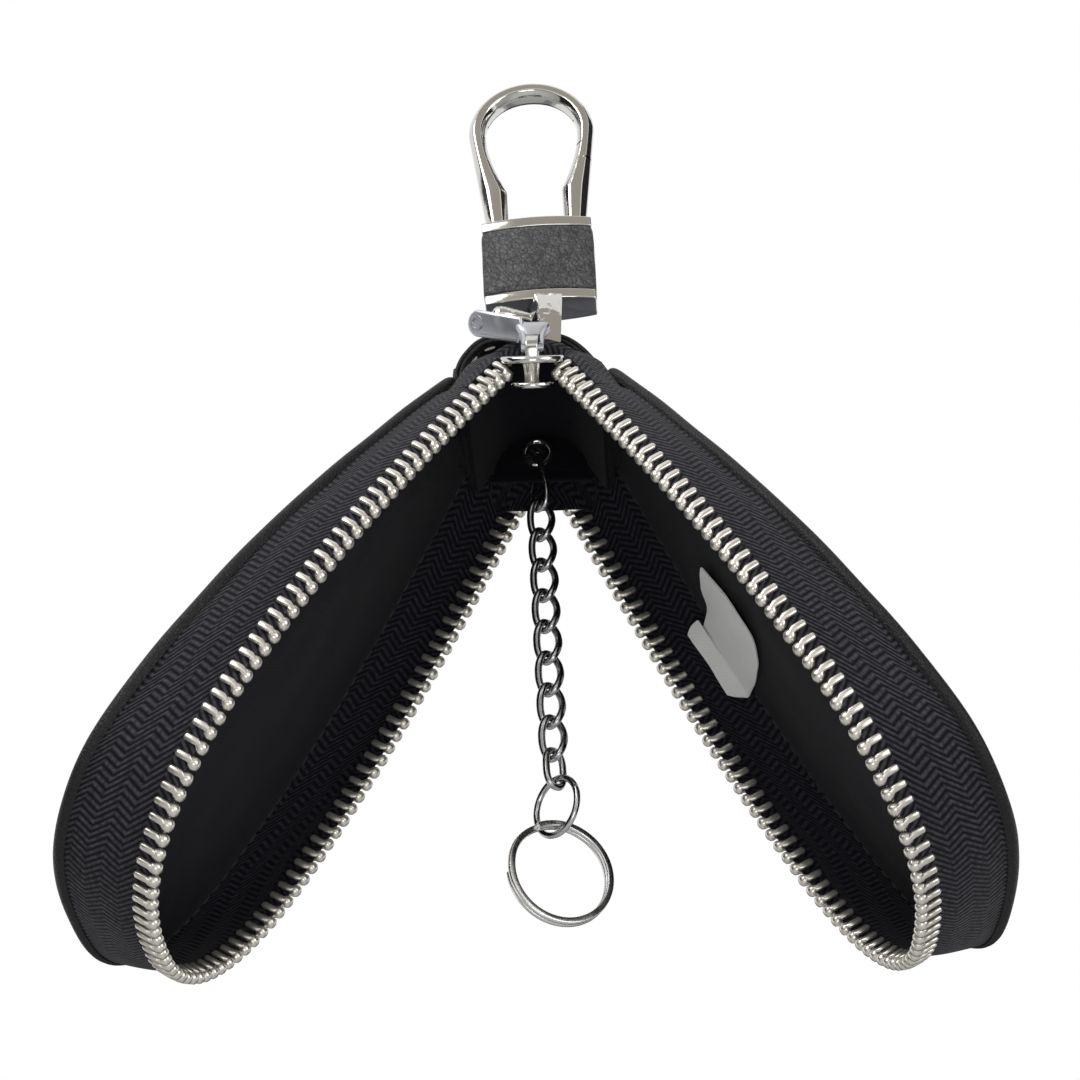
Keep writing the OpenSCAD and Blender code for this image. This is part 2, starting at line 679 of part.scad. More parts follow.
// The tab hangs from the spine's lining and carries the eyelet.
tab_r = spine_r - spine_t - 2 * glue_gap - lining_t - soft_gap;
module eyelet_axis() {
    translate([chain_x, tab_y, eyelet_z]) rotate([90, 0, 0]) children();
}
eyelet_wall = 0.35;
module inner_tab() {
    arc = 14;
    color("#101011") difference() {
        case_frame() translate([0, tab_y + tab_t / 2, 0]) rotate([90, 0, 0]) linear_extrude(tab_t)
            polygon(concat([for (i = [0:arc]) let (t = 180 * i / arc)
                    [tab_r * cos(t), tab_r * sin(t) + spine_zc]],
                [[-tab_half_w, -tab_drop], [tab_half_w, -tab_drop]]));
        eyelet_axis() cylinder(h = 4 * tab_t, r = eyelet_hole_r + eyelet_wall + glue_gap,
            center = true);
    }
}
eyelet_t = 0.4;
module eyelet() {
    color("silver") eyelet_axis() {
        difference() {
            union() {
                translate([0, 0, tab_t / 2 + glue_gap]) cylinder(h = eyelet_t, r = eyelet_r);
                translate([0, 0, -tab_t / 2 - eyelet_t - glue_gap])
                    cylinder(h = tab_t + eyelet_t + 2 * glue_gap, r = eyelet_hole_r + eyelet_wall);
            }
            cylinder(h = 6 * tab_t, r = eyelet_hole_r, center = true);
        }
    }
}
module eyelet_washer() {
    color("silver") eyelet_axis() translate([0, 0, -tab_t / 2 - eyelet_t - glue_gap])
        difference() {
            cylinder(h = eyelet_t, r = eyelet_r);
            translate([0, 0, -overrun])
                cylinder(h = eyelet_t + 2 * overrun, r = eyelet_hole_r + eyelet_wall + glue_gap);
        }
}

// Slider, seen from its own frame: the mouth faces -Y, the tail +Y.
tail_share = 0.72;
module slider_plate(half_w, t) {
    linear_extrude(t) union() {
        intersection() {
            translate([0, half_w - slider_mouth]) circle(r = half_w);
            translate([-half_w, -slider_mouth]) square([2 * half_w, half_w]);
        }
        polygon([[-half_w, half_w - slider_mouth], [half_w, half_w - slider_mouth],
            [half_w * tail_share, slider_tail], [-half_w * tail_share, slider_tail]]);
    }
}
post_w = 1.35;
post_back = 2.4;
rail_w = 0.7;
rail_h = 0.9;
rail_y = 4.5;
module slider_body() {
    half_h = channel_h / 2;
    rail_x = slider_top_w * tail_share - rail_w;
    low_rail_x = slider_low_w * tail_share - rail_w;
    rail_l = slider_tail - rail_y;
    color("silver") slider_frame() union() {
        translate([0, 0, half_h]) slider_plate(slider_top_w, slider_t);
        translate([0, 0, -half_h - slider_t]) slider_plate(slider_low_w, slider_t);
        translate([0, 0, -half_h - overrun]) linear_extrude(channel_h + 2 * overrun)
            polygon([[0, -slider_mouth * 0.8], [post_w, 0], [0, post_back], [-post_w, 0]]);
        for (m = [-1, 1]) {
            translate([m * (rail_x + rail_w / 2) - rail_w / 2, rail_y, half_h - rail_h])
                cube([rail_w, rail_l, rail_h + slider_t / 2]);
            translate([m * (low_rail_x + rail_w / 2) - rail_w / 2, rail_y, -half_h - slider_t / 2])
                cube([rail_w, rail_l, rail_h + slider_t / 2]);
        }
    }
}
module slider_crown() {
    base = channel_h / 2 + slider_t + glue_gap;
    color("silver") slider_frame() translate([-crown_w / 2, 0, base]) {
        translate([0, crown_y0, 0]) cube([crown_w, crown_foot, crown_h]);
        translate([0, crown_y1 - crown_foot, 0]) cube([crown_w, crown_foot, crown_h]);
        translate([0, crown_y0, crown_h - crown_t])
            cube([crown_w, crown_y1 - crown_y0, crown_t]);
    }
}

// The puller's bar in the case frame.
pull_z = channel_h / 2 + slider_t + pull_up;
pull_pivot = [0, pull_y * cos(slider_pitch) - pull_z * sin(slider_pitch) - slider_front,
    pull_y * sin(slider_pitch) + pull_z * cos(slider_pitch) - slider_below];
module puller() {
    reach = [tongue_root[1] - pull_pivot[1], tongue_root[2] - pull_pivot[2]];
    cheek_x = crown_w / 2 + cheek_gap;
    along = unit(tongue_end - tongue_root);
    across = unit(tongue_lie - (tongue_lie * along) * along);
    up = cross(along, across);
    l = norm(tongue_end - tongue_root);
    color("#c9cacb") case_frame() union() {
        translate(pull_pivot) rotate([atan2(reach[1], reach[0]), 0, 0]) {
            rotate([0, 90, 0]) cylinder(h = 2 * (cheek_x + cheek_t), r = bar_pull_r, center = true);
            for (m = [-1, 1]) translate([m * (cheek_x + cheek_t / 2) - cheek_t / 2, 0, 0]) {
                translate([0, 0, -cheek_w / 2]) cube([cheek_t, norm(reach), cheek_w]);
                rotate([0, 90, 0]) cylinder(h = cheek_t, r = cheek_w / 2);
            }
            translate([-cheek_x - cheek_t, norm(reach) - tongue_t / 2, -cheek_w / 2])
                cube([2 * (cheek_x + cheek_t), tongue_t, cheek_w]);
        }
        multmatrix([[along[0], across[0], up[0], tongue_root[0]],
                [along[1], across[1], up[1], tongue_root[1]],
                [along[2], across[2], up[2], tongue_root[2]], [0, 0, 0, 1]])
            translate([0, 0, -tongue_t / 2]) linear_extrude(tongue_t) difference() {
                union() {
                    translate([0, -tongue_w / 2]) square([l - tongue_w / 2, tongue_w]);
                    translate([l - tongue_w / 2, 0]) circle(r = tongue_w / 2);
                }
                translate([l - tongue_w / 2, 0]) circle(r = tongue_hole_r);
            }
    }
}

// One tooth, its head at z = 0 and its jaw round the tape.
module tooth() {
    slot = tape_t / 2 + jaw_gap;
    rotate([90, 0, 90]) linear_extrude(tooth_t, center = true) polygon([
        [-tooth_head_w / 2, 0], [tooth_head_w / 2, 0], [tooth_w / 2, tooth_jaw / 2],
        [tooth_w / 2, tooth_l], [slot, tooth_l], [slot, tooth_jaw], [-slot, tooth_jaw],
        [-slot, tooth_l], [-tooth_w / 2, tooth_l], [-tooth_w / 2, tooth_jaw / 2]]);
}
row_path = u_points(row_side(0), row_side(0));
row_run = running(row_path);
row_total = row_run[len(row_run) - 1];
row_s_table = [for (i = [0:len(row_path) - 1]) [row_run[i], row_path[i][0]]];
row_y_table = [for (i = [0:len(row_path) - 1]) [row_run[i], row_path[i][1]]];
first_free_tooth = 4;
first_tooth = 1;
module teeth(from, to) {
    for (i = [from:to]) {
        d = i * tooth_pitch;
        p = [lookup(d, row_s_table), lookup(d, row_y_table)];
        q = [lookup(d + tooth_t / 4, row_s_table), lookup(d + tooth_t / 4, row_y_table)];
        translate([p[0], p[1], 0]) rotate([0, 0, atan2(q[1] - p[1], q[0] - p[0])]) tooth();
    }
}
module zip_start() {
    color("#c9c4b4") for (side = [-1, 1]) half_frame(side)
        teeth(first_tooth, first_free_tooth - 1);
}
module half_teeth(side) {
    color("#c9c4b4") half_frame(side)
        teeth(first_free_tooth, floor((row_total - tooth_t) / tooth_pitch));
}

// Tape of one half: a strip that stands in the teeth's jaws and leans out to the panel.
// Each of its ends is two quads, one for its foot and one for the part that leans.
tape_ends = [[0, 1, 4, 5], [1, 2, 3, 4]];
function tape_faces(n) = concat([for (q = tape_ends) [for (j = [3:-1:0]) q[j]]],
    [for (q = tape_ends) [for (j = q) (n - 1) * 6 + j]], tube_sides(n, 6, false));
module half_tape(side) {
    row = u_points(row_side(near_start_s), row_side(far_start_s));
    top = u_points(panel_side(near_start_s, edge_proud), panel_side(far_start_s, edge_proud));
    points = [for (i = [0:len(row) - 1])
        let (v = tape_t / 2 * path_normal(row, i), r = row[i], p = top[i],
            zt = panel_face(p[0]) - soft_gap / 2,
            a = [r[0] + v[0], r[1] + v[1]], b = [r[0] - v[0], r[1] - v[1]],
            c = [p[0] + v[0], p[1] + v[1]], d = [p[0] - v[0], p[1] - v[1]])
        each [[a[0], a[1], tape_z0], [a[0], a[1], tape_z1], [c[0], c[1], zt],
            [d[0], d[1], zt], [b[0], b[1], tape_z1], [b[0], b[1], tape_z0]]];
    color("#151516") half_frame(side) polyhedron(points, tape_faces(len(row)), convexity = 8);
}

// A flat sheet with the panel's outline, drawn in by an inset.
module panel_sheet(inset, t) {
    side = panel_side(panel_s0 + inset, inset);
    linear_extrude(t) polygon(u_points(side, side));
}
edge_round = 0.35;
module half_leather(side) {
    color("#1b1b1c") panel_frame(side) difference() {
        union() {
            panel_sheet(edge_round, panel_t);
            translate([0, 0, edge_round]) panel_sheet(0, panel_t - 2 * edge_round);
        }
        translate([0, 0, -overrun]) panel_sheet(leather_t, panel_t - leather_t + overrun);
    }
}
module half_board(side) {
    low = lining_t + glue_gap;
    color("#8a7a5c") panel_frame(side) translate([0, 0, low])
        panel_sheet(leather_t + glue_gap, panel_t - leather_t - low - glue_gap);
}
module half_lining(side) {
    color("#101011") panel_frame(side) panel_sheet(leather_t + glue_gap, lining_t);
}

// The bare label: a folded slip over the lining and up the far tape.
module label() {
    seam_y = panel_h(label_s0) - edge_proud - tape_t - soft_gap;
    lift = soft_gap / 2;
    s1 = label_s0 + label_w;
    wall_share = 0.45;
    point_shares = [0.1, 0.45];
    shoulder_share = 0.5;
    fold_share = 0.85;
    row_seam = row_h(label_s0) - tape_t - soft_gap;
    wall_y = seam_y + (row_seam - seam_y) * wall_share;
    z_flat = panel_face(label_s0) - lift;
    z_wall = z_flat - (z_flat - tape_z1) * wall_share;
    stations = [[label_y0, label_s0 + label_w * point_shares[0],
            label_s0 + label_w * point_shares[1], z_flat],
        [label_y0 + label_w * shoulder_share, label_s0, s1, z_flat],
        [seam_y - tape_t, label_s0, s1, z_flat],
        [wall_y, label_s0, label_s0 + label_w * fold_share, z_wall]];
    points = [for (st = stations) each [[st[1], st[0], st[3]], [st[2], st[0], st[3]],
        [st[2], st[0], st[3] - label_t], [st[1], st[0], st[3] - label_t]]];
    color("#d8d8d6") half_frame(1)
        polyhedron(points, tube_faces(len(stations), 4), convexity = 4);
}

// A chain link round z = 0: half-length a, half-width b, turned and evenly twisted.
module link_loop(a, b, turn, twist, d) {
    path = [for (i = [0:link_rings - 1]) let (t = 360 * (i + 0.5) / link_rings,
            z = a * sign(sin(t)) * pow(abs(sin(t)), 2 / link_square),
            r = b * sign(cos(t)) * pow(abs(cos(t)), 2 / link_square),
            w = turn + twist * z / a)
        [r * cos(w), r * sin(w), z]];
    n = len(path);
    points = [for (i = [0:n - 1])
        let (t = unit(path[(i + 1) % n] - path[(i + n - 1) % n]),
            u = unit(cross(t, cross(path[i], t))), v = cross(t, u))
        for (j = [0:link_sides - 1]) let (q = 360 * (j + 0.5) / link_sides)
            path[i] + d / 2 * (cos(q) * u - sin(q) * v)];
    polyhedron(points, tube_sides(n, link_sides, true), convexity = 6);
}
module at_chain(z) {
    translate([chain_x, tab_y, z]) children();
}
module eyelet_link() {
    color("#55575b") at_chain((eyelet_top_z + eyelet_low_z) / 2)
        link_loop((eyelet_link_l - wire) / 2, (eyelet_link_w - wire) / 2, 90 + link_twist / 2,
            -link_twist / 2, wire);
}
module curb_link(i) {
    color("#55575b") at_chain(link_1_z - (i - 1) * link_pitch)
        link_loop(link_a, link_b, 0, link_twist, wire);
}
module end_link() {
    color("#55575b") at_chain(end_link_z) link_loop(end_link_a, link_b, link_twist, 0, wire);
}
module jump_ring() {
    color("#6d6f73") at_chain(jump_z) rotate([90, 0, jump_turn]) rotate_extrude(angle = 360)
        translate([jump_rc, 0]) circle(r = jump_wire / 2);
}
module key_ring() {
    groove = 0.15;
    half = key_t / 2;
    color("silver") at_chain(key_z) rotate([90, 0, key_turn]) rotate_extrude(angle = 360) polygon([
        [key_r - key_band, -half], [key_r, -half], [key_r, -groove], [key_r - groove, 0],
        [key_r, groove], [key_r, half], [key_r - key_band, half], [key_r - key_band, groove],
        [key_r - key_band + groove, 0], [key_r - key_band, -groove]]);
}

shackle();
gate();
gate_pin();
gate_spring();
block_core();
top_plate();
bottom_plate();
leather_sleeve();
swivel_post();
swivel_ring();
loop_strap();
spine_leather();
spine_lining();
near_gusset();
far_gusset();
inner_tab();
eyelet();
eyelet_washer();
slider_body();
slider_crown();
puller();
zip_start();
half_leather(-1);  // left_leather
half_board(-1);  // left_board
half_lining(-1);  // left_lining
half_tape(-1);  // left_tape
half_teeth(-1);  // left_teeth
half_leather(1);  // right_leather
half_board(1);  // right_board
half_lining(1);  // right_lining
half_tape(1);  // right_tape
half_teeth(1);  // right_teeth
label();
eyelet_link();
curb_link(1);  // chain_link_1
curb_link(2);  // chain_link_2
curb_link(3);  // chain_link_3
curb_link(4);  // chain_link_4
curb_link(5);  // chain_link_5
curb_link(6);  // chain_link_6
curb_link(7);  // chain_link_7
curb_link(8);  // chain_link_8
end_link();
jump_ring();
key_ring();
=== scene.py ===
"""Looks of a zip key case that hangs open from its swivel hook.

Shapes are worked out in millimetres, in the frame of the piece that carries them, and become
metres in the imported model's frame where the mesh is made.
"""

import logging
import math
from collections.abc import Sequence
from dataclasses import dataclass, field
from enum import Enum

import bmesh
import bpy
import numpy as np
from mathutils import Matrix, Vector, noise


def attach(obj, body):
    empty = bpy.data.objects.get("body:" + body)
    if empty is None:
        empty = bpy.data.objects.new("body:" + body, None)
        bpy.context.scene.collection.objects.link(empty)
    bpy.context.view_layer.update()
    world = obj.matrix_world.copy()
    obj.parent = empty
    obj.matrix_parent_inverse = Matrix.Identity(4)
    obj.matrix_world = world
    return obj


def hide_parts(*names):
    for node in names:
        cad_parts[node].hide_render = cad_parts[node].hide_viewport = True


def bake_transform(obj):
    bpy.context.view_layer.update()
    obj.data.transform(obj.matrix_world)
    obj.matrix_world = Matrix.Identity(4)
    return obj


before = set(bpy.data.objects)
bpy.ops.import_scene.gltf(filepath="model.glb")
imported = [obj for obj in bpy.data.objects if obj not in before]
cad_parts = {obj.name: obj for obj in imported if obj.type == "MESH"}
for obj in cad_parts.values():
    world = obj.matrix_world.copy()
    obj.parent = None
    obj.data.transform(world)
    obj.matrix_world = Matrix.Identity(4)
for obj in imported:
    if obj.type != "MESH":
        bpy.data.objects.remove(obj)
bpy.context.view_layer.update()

LOG = logging.getLogger("key_case")
MM = 0.001
UPRIGHT = Matrix.Identity(4)
SEED = 7
Links = dict[str | int, object]
Tree = bpy.types.NodeTree
Node = bpy.types.Node
Socket = bpy.types.NodeSocket
Mesh = bpy.types.Mesh
Piece = bpy.types.Object


class Side(Enum):
    """The two halves of the case, as the camera sees them."""

    LEFT = -1
    RIGHT = 1

    @property
    def label(self) -> str:
        """The side's word in piece and body names."""
        return self.name.lower()


class Coordinates(Enum):
    """What a pattern is laid out on."""

    OBJECT = "Object"
    SURFACE = "UV"


class Pivot(Enum):
    """How copies turn to face along a path."""

    FLAT = "Z"
    FREE = "AUTO"


def to_linear(colour: str) -> tuple[float, float, float, float]:
    """Turns an sRGB hex colour to linear light.

    Args:
        colour: The colour as #rrggbb.

    Returns:
        Red, green and blue in linear light, and an alpha of 1.
    """
    shares = [int(colour[i:i + 2], 16) / 255 for i in (1, 3, 5)]
    linear = [c / 12.92 if c <= 0.04045 else ((c + 0.055) / 1.055) ** 2.4 for c in shares]
    return (linear[0], linear[1], linear[2], 1.0)


def add(tree: Tree, kind: str, links: Links | None = None,
        **settings: object) -> Node:
    """Adds a node to a tree, with its settings and what its inputs take.

    Args:
        tree: The tree that gets the node.
        kind: Blender's name of the node's type.
        links: What each input takes, by its name or number: an output, or a value.
        settings: The node's own properties.

    Returns:
        The new node.
    """
    node = tree.nodes.new(kind)
    for key, value in settings.items():
        setattr(node, key, value)
    for key, value in (links or {}).items():
        if isinstance(value, Socket):
            tree.links.new(value, node.inputs[key])
        else:
            node.inputs[key].default_value = value
    return node


def noise_at(tree: Tree, place: Socket, size_mm: float, detail: float, **more: float) -> Node:
    """Noise whose dents are about as wide as a size."""
    return add(tree, "ShaderNodeTexNoise", {
        "Vector": place, "Scale": 1 / (size_mm * MM), "Detail": detail, **more})


def reckon(tree: Tree, operation: str, *values: object) -> Socket:
    """What an arithmetic operation makes of its values."""
    return add(tree, "ShaderNodeMath", dict(enumerate(values)), operation=operation).outputs[0]


def spread(tree: Tree, value: Socket, given: tuple[float, float], wanted: tuple[float, float],
           kind: str = "LINEAR") -> Socket:
    """Carries a value from one range over to another, and holds it at both ends."""
    return add(tree, "ShaderNodeMapRange", {
        "Value": value, "From Min": given[0], "From Max": given[1], "To Min": wanted[0],
        "To Max": wanted[1]}, interpolation_type=kind).outputs[0]


@dataclass(frozen=True)
class Finish:
    """What every finish has: a name, a colour, how rough it is and how much it mirrors."""

    name: str
    colour: str
    roughness: float
    shine: float = 0.5

    def start(self, inputs: Links | None = None) -> tuple[Tree, Node]:
        """Makes the material with its shader.

        Args:
            inputs: What more the shader's inputs take, by their names.

        Returns:
            The material's tree and its Principled shader.
        """
        material = bpy.data.materials.new(self.name)
        material.use_nodes = True
        tree = material.node_tree
        tree.nodes.clear()
        shader = add(tree, "ShaderNodeBsdfPrincipled", {
            "Base Color": to_linear(self.colour), "Roughness": self.roughness,
            "Specular IOR Level": self.shine, **(inputs or {})})
        add(tree, "ShaderNodeOutputMaterial", {"Surface": shader.outputs[0]})
        material.diffuse_color = to_linear(self.colour)
        return tree, shader

    def dress(self, tree: Tree, shader: Node, height: Socket, depth_mm: float, strength: float,
              tone_and_highlight: tuple[Socket, str] | None = None) -> None:
        """Gives the shader its raised pattern and, if it has a second colour, the mixture.

        Args:
            tree: The material's tree.
            shader: Its shader.
            height: The pattern's height.
            depth_mm: How deep the pattern is.
            strength: How much of it shows.
            tone_and_highlight: The share of the second colour, and that colour, which is a real
                tone on some finishes and a painted highlight on the leather's crowns and the
                tape's crests.
        """
        bump = add(tree, "ShaderNodeBump", {
            "Height": height, "Distance": depth_mm * MM, "Strength": strength})
        tree.links.new(bump.outputs[0], shader.inputs["Normal"])
        if tone_and_highlight:
            mixed = add(tree, "ShaderNodeMix", {
                0: tone_and_highlight[0], 6: to_linear(self.colour), 7: to_linear(tone_and_highlight[1])}, data_type="RGBA")
            tree.links.new(mixed.outputs[2], shader.inputs["Base Color"])

    def material(self) -> bpy.types.Material:
        """The finish's material, which is built the first time it is asked for.

        Returns:
            The material.
        """
        if self.name not in bpy.data.materials:
            self.build()
        return bpy.data.materials[self.name]

    def build(self) -> None:
        """Builds a plain finish."""
        self.start()


@dataclass(frozen=True)
class PlatedMetal(Finish):
    """Chrome or nickel plate. The plate is thin, so the soft ripples of the casting or the drawn
    wire under it still bend its reflections, and handling leaves duller patches."""

    ripple_mm: float = 1.6
    ripple_depth_mm: float = 0.012
    rub: float = 0.10
    metallic: float = 1.0

    def build(self) -> None:
        """Builds the plate, its ripples and its duller patches."""
        tree, shader = self.start({"Metallic": self.metallic})
        place = add(tree, "ShaderNodeTexCoord").outputs["Object"]
        ripple = noise_at(tree, place, self.ripple_mm, 2.0)
        patch = noise_at(tree, place, 2.2 * self.ripple_mm, 4.0)
        rough = spread(tree, patch.outputs[0], (0.4, 0.75),
                       (self.roughness, self.roughness + self.rub))
        tree.links.new(rough, shader.inputs["Roughness"])
        self.dress(tree, shader, ripple.outputs[0], self.ripple_depth_mm, 1.0)


@dataclass(frozen=True)
class Leather(Finish):
    """Pebbled, dyed cow leather with a semi-matt top coat. The crowns of its pebbles get a paler
    colour as a painted highlight, broken up by random specks and patches, and the creases between
    them a darker one as painted shade."""

    # The paler colour of the pebbles' crowns: a painted highlight.
    crown: str = "#2c2c2e"
    grain_mm: float = 0.75
    depth_mm: float = 0.06
    stretch: float = 1.0
    slope_deg: float = 0.0
    coordinates: Coordinates = Coordinates.OBJECT

    def build(self) -> None:
        """Builds the pebbles, their uneven tone, the painted highlight on their crowns and the
        painted shade in the creases between them.
        """
        tree, shader = self.start()
        place = add(tree, "ShaderNodeTexCoord").outputs[self.coordinates.value]
        pull = add(tree, "ShaderNodeMapping", {
            "Vector": place, "Rotation": (0, math.radians(self.slope_deg), 0),
            "Scale": (self.stretch, 1, 1)}, vector_type="TEXTURE")
        warp = noise_at(tree, place, 2.5 * self.grain_mm, 2.0)
        bent = add(tree, "ShaderNodeVectorMath", {
            0: warp.outputs["Color"], 1: (0.7 * self.grain_mm * MM,) * 3, 2: pull.outputs[0]},
            operation="MULTIPLY_ADD")
        pebbles = add(tree, "ShaderNodeTexVoronoi", {
            "Vector": bent.outputs[0], "Scale": 1 / (self.grain_mm * MM), "Randomness": 1.0},
            feature="DISTANCE_TO_EDGE")
        pores = noise_at(tree, place, 0.35 * self.grain_mm, 4.0).outputs[0]
        crowns = spread(tree, pebbles.outputs["Distance"], (0, 0.22), (0, 1), "SMOOTHSTEP")
        height = reckon(tree, "MULTIPLY_ADD", pores, 0.6, crowns)
        specks = spread(tree, pores, (0.36, 0.66), (0.1, 1))
        worn = spread(tree, warp.outputs[0], (0.3, 0.7), (0.45, 1))
        # Painted shade: the creases get less of the paler crown colour, so they are darker.
        crease_shade = spread(tree, crowns, (0, 1), (0.45, 1))
        # The share of the paler crown colour: random specks and patches times the painted crease
        # shade; on the crowns it is a painted highlight.
        shade = reckon(tree, "MULTIPLY", reckon(tree, "MULTIPLY", specks, worn), crease_shade)
        self.dress(tree, shader, height, self.depth_mm, 0.9, (shade, self.crown))


@dataclass(frozen=True)
class PlainCloth(Finish):
    """Tightly woven polyester lining. Its threads are 0.25 mm apart, drawn at 0.4 mm so that
    they show, and it is matt with a little bloom at grazing angles."""

    light: str = "#1b1b1d"
    thread_mm: float = 0.4
    depth_mm: float = 0.03
    sheen: float = 0.15

    def build(self) -> None:
        """Builds the over-and-under of the threads and the cloth's faint unevenness."""
        tree, shader = self.start({"Sheen Weight": self.sheen, "Sheen Roughness": 0.5})
        place = add(tree, "ShaderNodeTexCoord").outputs["UV"]
        axes = add(tree, "ShaderNodeSeparateXYZ", {0: place}).outputs
        turn = math.pi / (self.thread_mm * MM)
        threads = [reckon(tree, "SINE", reckon(tree, "MULTIPLY", axes[i], turn)) for i in (0, 1)]
        weave = reckon(tree, "MULTIPLY", *threads)
        drift = noise_at(tree, place, 6, 5.0).outputs[0]
        mixed = reckon(tree, "MULTIPLY_ADD", weave, 0.3, drift)
        self.dress(tree, shader, weave, self.depth_mm, 0.6, (mixed, self.light))


@dataclass(frozen=True)
class ZipTape(Finish):
    """Woven polyester zip tape: a herringbone of slanted yarns that turn from column to column,
    with faint gaps between them, and crests that are painted paler in patches, as a painted
    highlight."""

    # The paler colour of the yarns' crests: a painted highlight.
    light: str = "#3a3a3d"
    column_mm: float = 2.6
    yarn_mm: float = 1.25
    slant: float = 0.8
    depth_mm: float = 0.16

    def wave(self, tree: Tree, value: Socket, pitch_mm: float) -> Socket:
        """A wave from 0 to 1 along a length in metres, which repeats at a pitch."""
        angle = reckon(tree, "MULTIPLY", value, 2 * math.pi / (pitch_mm * MM))
        return reckon(tree, "MULTIPLY_ADD", reckon(tree, "SINE", angle), 0.5, 0.5)

    def build(self) -> None:
        """Builds the columns, the yarns in them and the painted highlight on their crests."""
        tree, shader = self.start({"Sheen Weight": 0.06, "Sheen Roughness": 0.45})
        place = add(tree, "ShaderNodeTexCoord").outputs["UV"]
        axes = add(tree, "ShaderNodeSeparateXYZ", {0: place}).outputs
        zigzag = reckon(tree, "PINGPONG", axes[1], self.column_mm * MM)
        slanted = reckon(tree, "MULTIPLY_ADD", zigzag, self.slant, axes[0])
        yarns = self.wave(tree, slanted, self.yarn_mm)
        gaps = reckon(tree, "MULTIPLY", yarns, self.wave(tree, axes[1], self.column_mm / 3))
        height = add(tree, "ShaderNodeMix", {0: 0.1, 2: yarns, 3: gaps}).outputs[0]
        fuzz = noise_at(tree, place, 0.9, 5.0, Roughness=0.65).outputs[0]
        # Painted highlight: the yarns' crests get the paler colour, in patches where the noise
        # allows.
        crest_highlight = reckon(tree, "MULTIPLY", height, spread(tree, fuzz, (0.38, 0.62), (0.35, 1)))
        self.dress(tree, shader, height, self.depth_mm, 0.8, (crest_highlight, self.light))


@dataclass(frozen=True)
class Speckled(Finish):
    """Pressed or painted stuff: fibre board, satin paint or spun thread. Its grain is a fine
    unevenness in colour and in the surface."""

    light: str = "#9a8a6c"
    grain_mm: float = 0.6
    depth_mm: float = 0.03

    def build(self) -> None:
        """Builds the grain."""
        tree, shader = self.start()
        place = add(tree, "ShaderNodeTexCoord").outputs["Object"]
        grain = noise_at(tree, place, self.grain_mm, 6.0).outputs[0]
        self.dress(tree, shader, grain, self.depth_mm, 0.6, (grain, self.light))


# Chrome-plated zinc, die cast and tumbled: hard, bright reflections on soft facets.
CHROME = PlatedMetal("chrome_plated_zinc", "#d2d1ce", 0.08, ripple_mm=2.8, ripple_depth_mm=0.045)
# The swivel ring is polished by hand, so its faces are uneven and break up what they mirror.
BUFFED_CHROME = PlatedMetal("hand_buffed_chrome", "#d2d1ce", 0.07, ripple_mm=2.4,
                            ripple_depth_mm=0.22)
# The faces of the bottom plate that look straight down get this darker, duller metal.
UNDERSIDE_METAL = PlatedMetal("as_cast_zinc", "#85868c", 0.42, ripple_mm=0.8, ripple_depth_mm=0.03)
# Plain turned or coiled steel inside the block.
STEEL = PlatedMetal("plain_steel", "#9a9b9d", 0.3, ripple_mm=0.6)
# Nickel-plated brass zip teeth, stamped: satin, with a pale warm cast.
TEETH_NICKEL = PlatedMetal("stamped_nickel_teeth", "#dcd8cf", 0.28, ripple_mm=0.9,
                           ripple_depth_mm=0.006, metallic=0.85)
# The slider is die cast and bright plated.
SLIDER_NICKEL = PlatedMetal("bright_nickel_slider", "#cfcfcd", 0.12, ripple_mm=1.2)
# The puller has a satin, pale plating.
PULLER_SATIN = PlatedMetal("satin_nickel_puller", "#c3c5cb", 0.36, ripple_mm=1.0)
# Polished gunmetal plate over steel wire: grey, with small hard highlights.
CHAIN_GUNMETAL = PlatedMetal("gunmetal_plated_wire", "#c4c4c6", 0.2, ripple_mm=0.9,
                             ripple_depth_mm=0.03)
# Bright nickel on spring steel.
RING_NICKEL = PlatedMetal("bright_nickel_ring", "#e2e1df", 0.24, ripple_mm=1.4)
# Dyed cow leather on the outside of the case. Its crown colour, on the pebbles' crowns, is a
# painted highlight.
CASE_LEATHER = Leather("black_cow_leather", "#09090a", 0.5, 0.3, crown="#222225")
BENT_LEATHER = Leather("black_cow_leather_bent", "#09090a", 0.5, 0.3, crown="#222225",
                       coordinates=Coordinates.SURFACE)
# The sleeve's leather is the same hide, pulled aslant, so its creases are long and it is paler.
# Its much paler crown colour is a painted highlight on the pebbles' crowns.
SLEEVE_LEATHER = Leather("black_cow_leather_stretched", "#1e1e1f", 0.5, 0.4, crown="#747578",
                         grain_mm=0.9, depth_mm=0.09, stretch=2.0, slope_deg=50.0)
LINING_CLOTH = PlainCloth("black_polyester_lining", "#040409", 0.85, 0.12, light="#0f0f17",
                          sheen=0.04)
TAPE_OUTER = ZipTape("zip_tape_herringbone", "#07070a", 0.75, 0.15, light="#4a4a52")
# The tape's inner face: the same herringbone with darker colours, which are painted shade.
TAPE_INNER_SHADED = ZipTape("zip_tape_inner_herringbone", "#060609", 0.8, 0.12, light="#30303a")
# Spun polyester sewing thread.
DARK_THREAD = Speckled("black_thread", "#1d1d1f", 0.6, light="#313134", grain_mm=0.3)
GREY_THREAD = Speckled("grey_thread", "#232327", 0.7, 0.2, light="#38383d", grain_mm=0.3)
# The pale thread of the strap's back stitches: its pale colour is a painted glint.
PALE_GLINT_THREAD = Speckled("pale_thread", "#b9b2b0", 0.55, light="#d9d4d2", grain_mm=0.3)
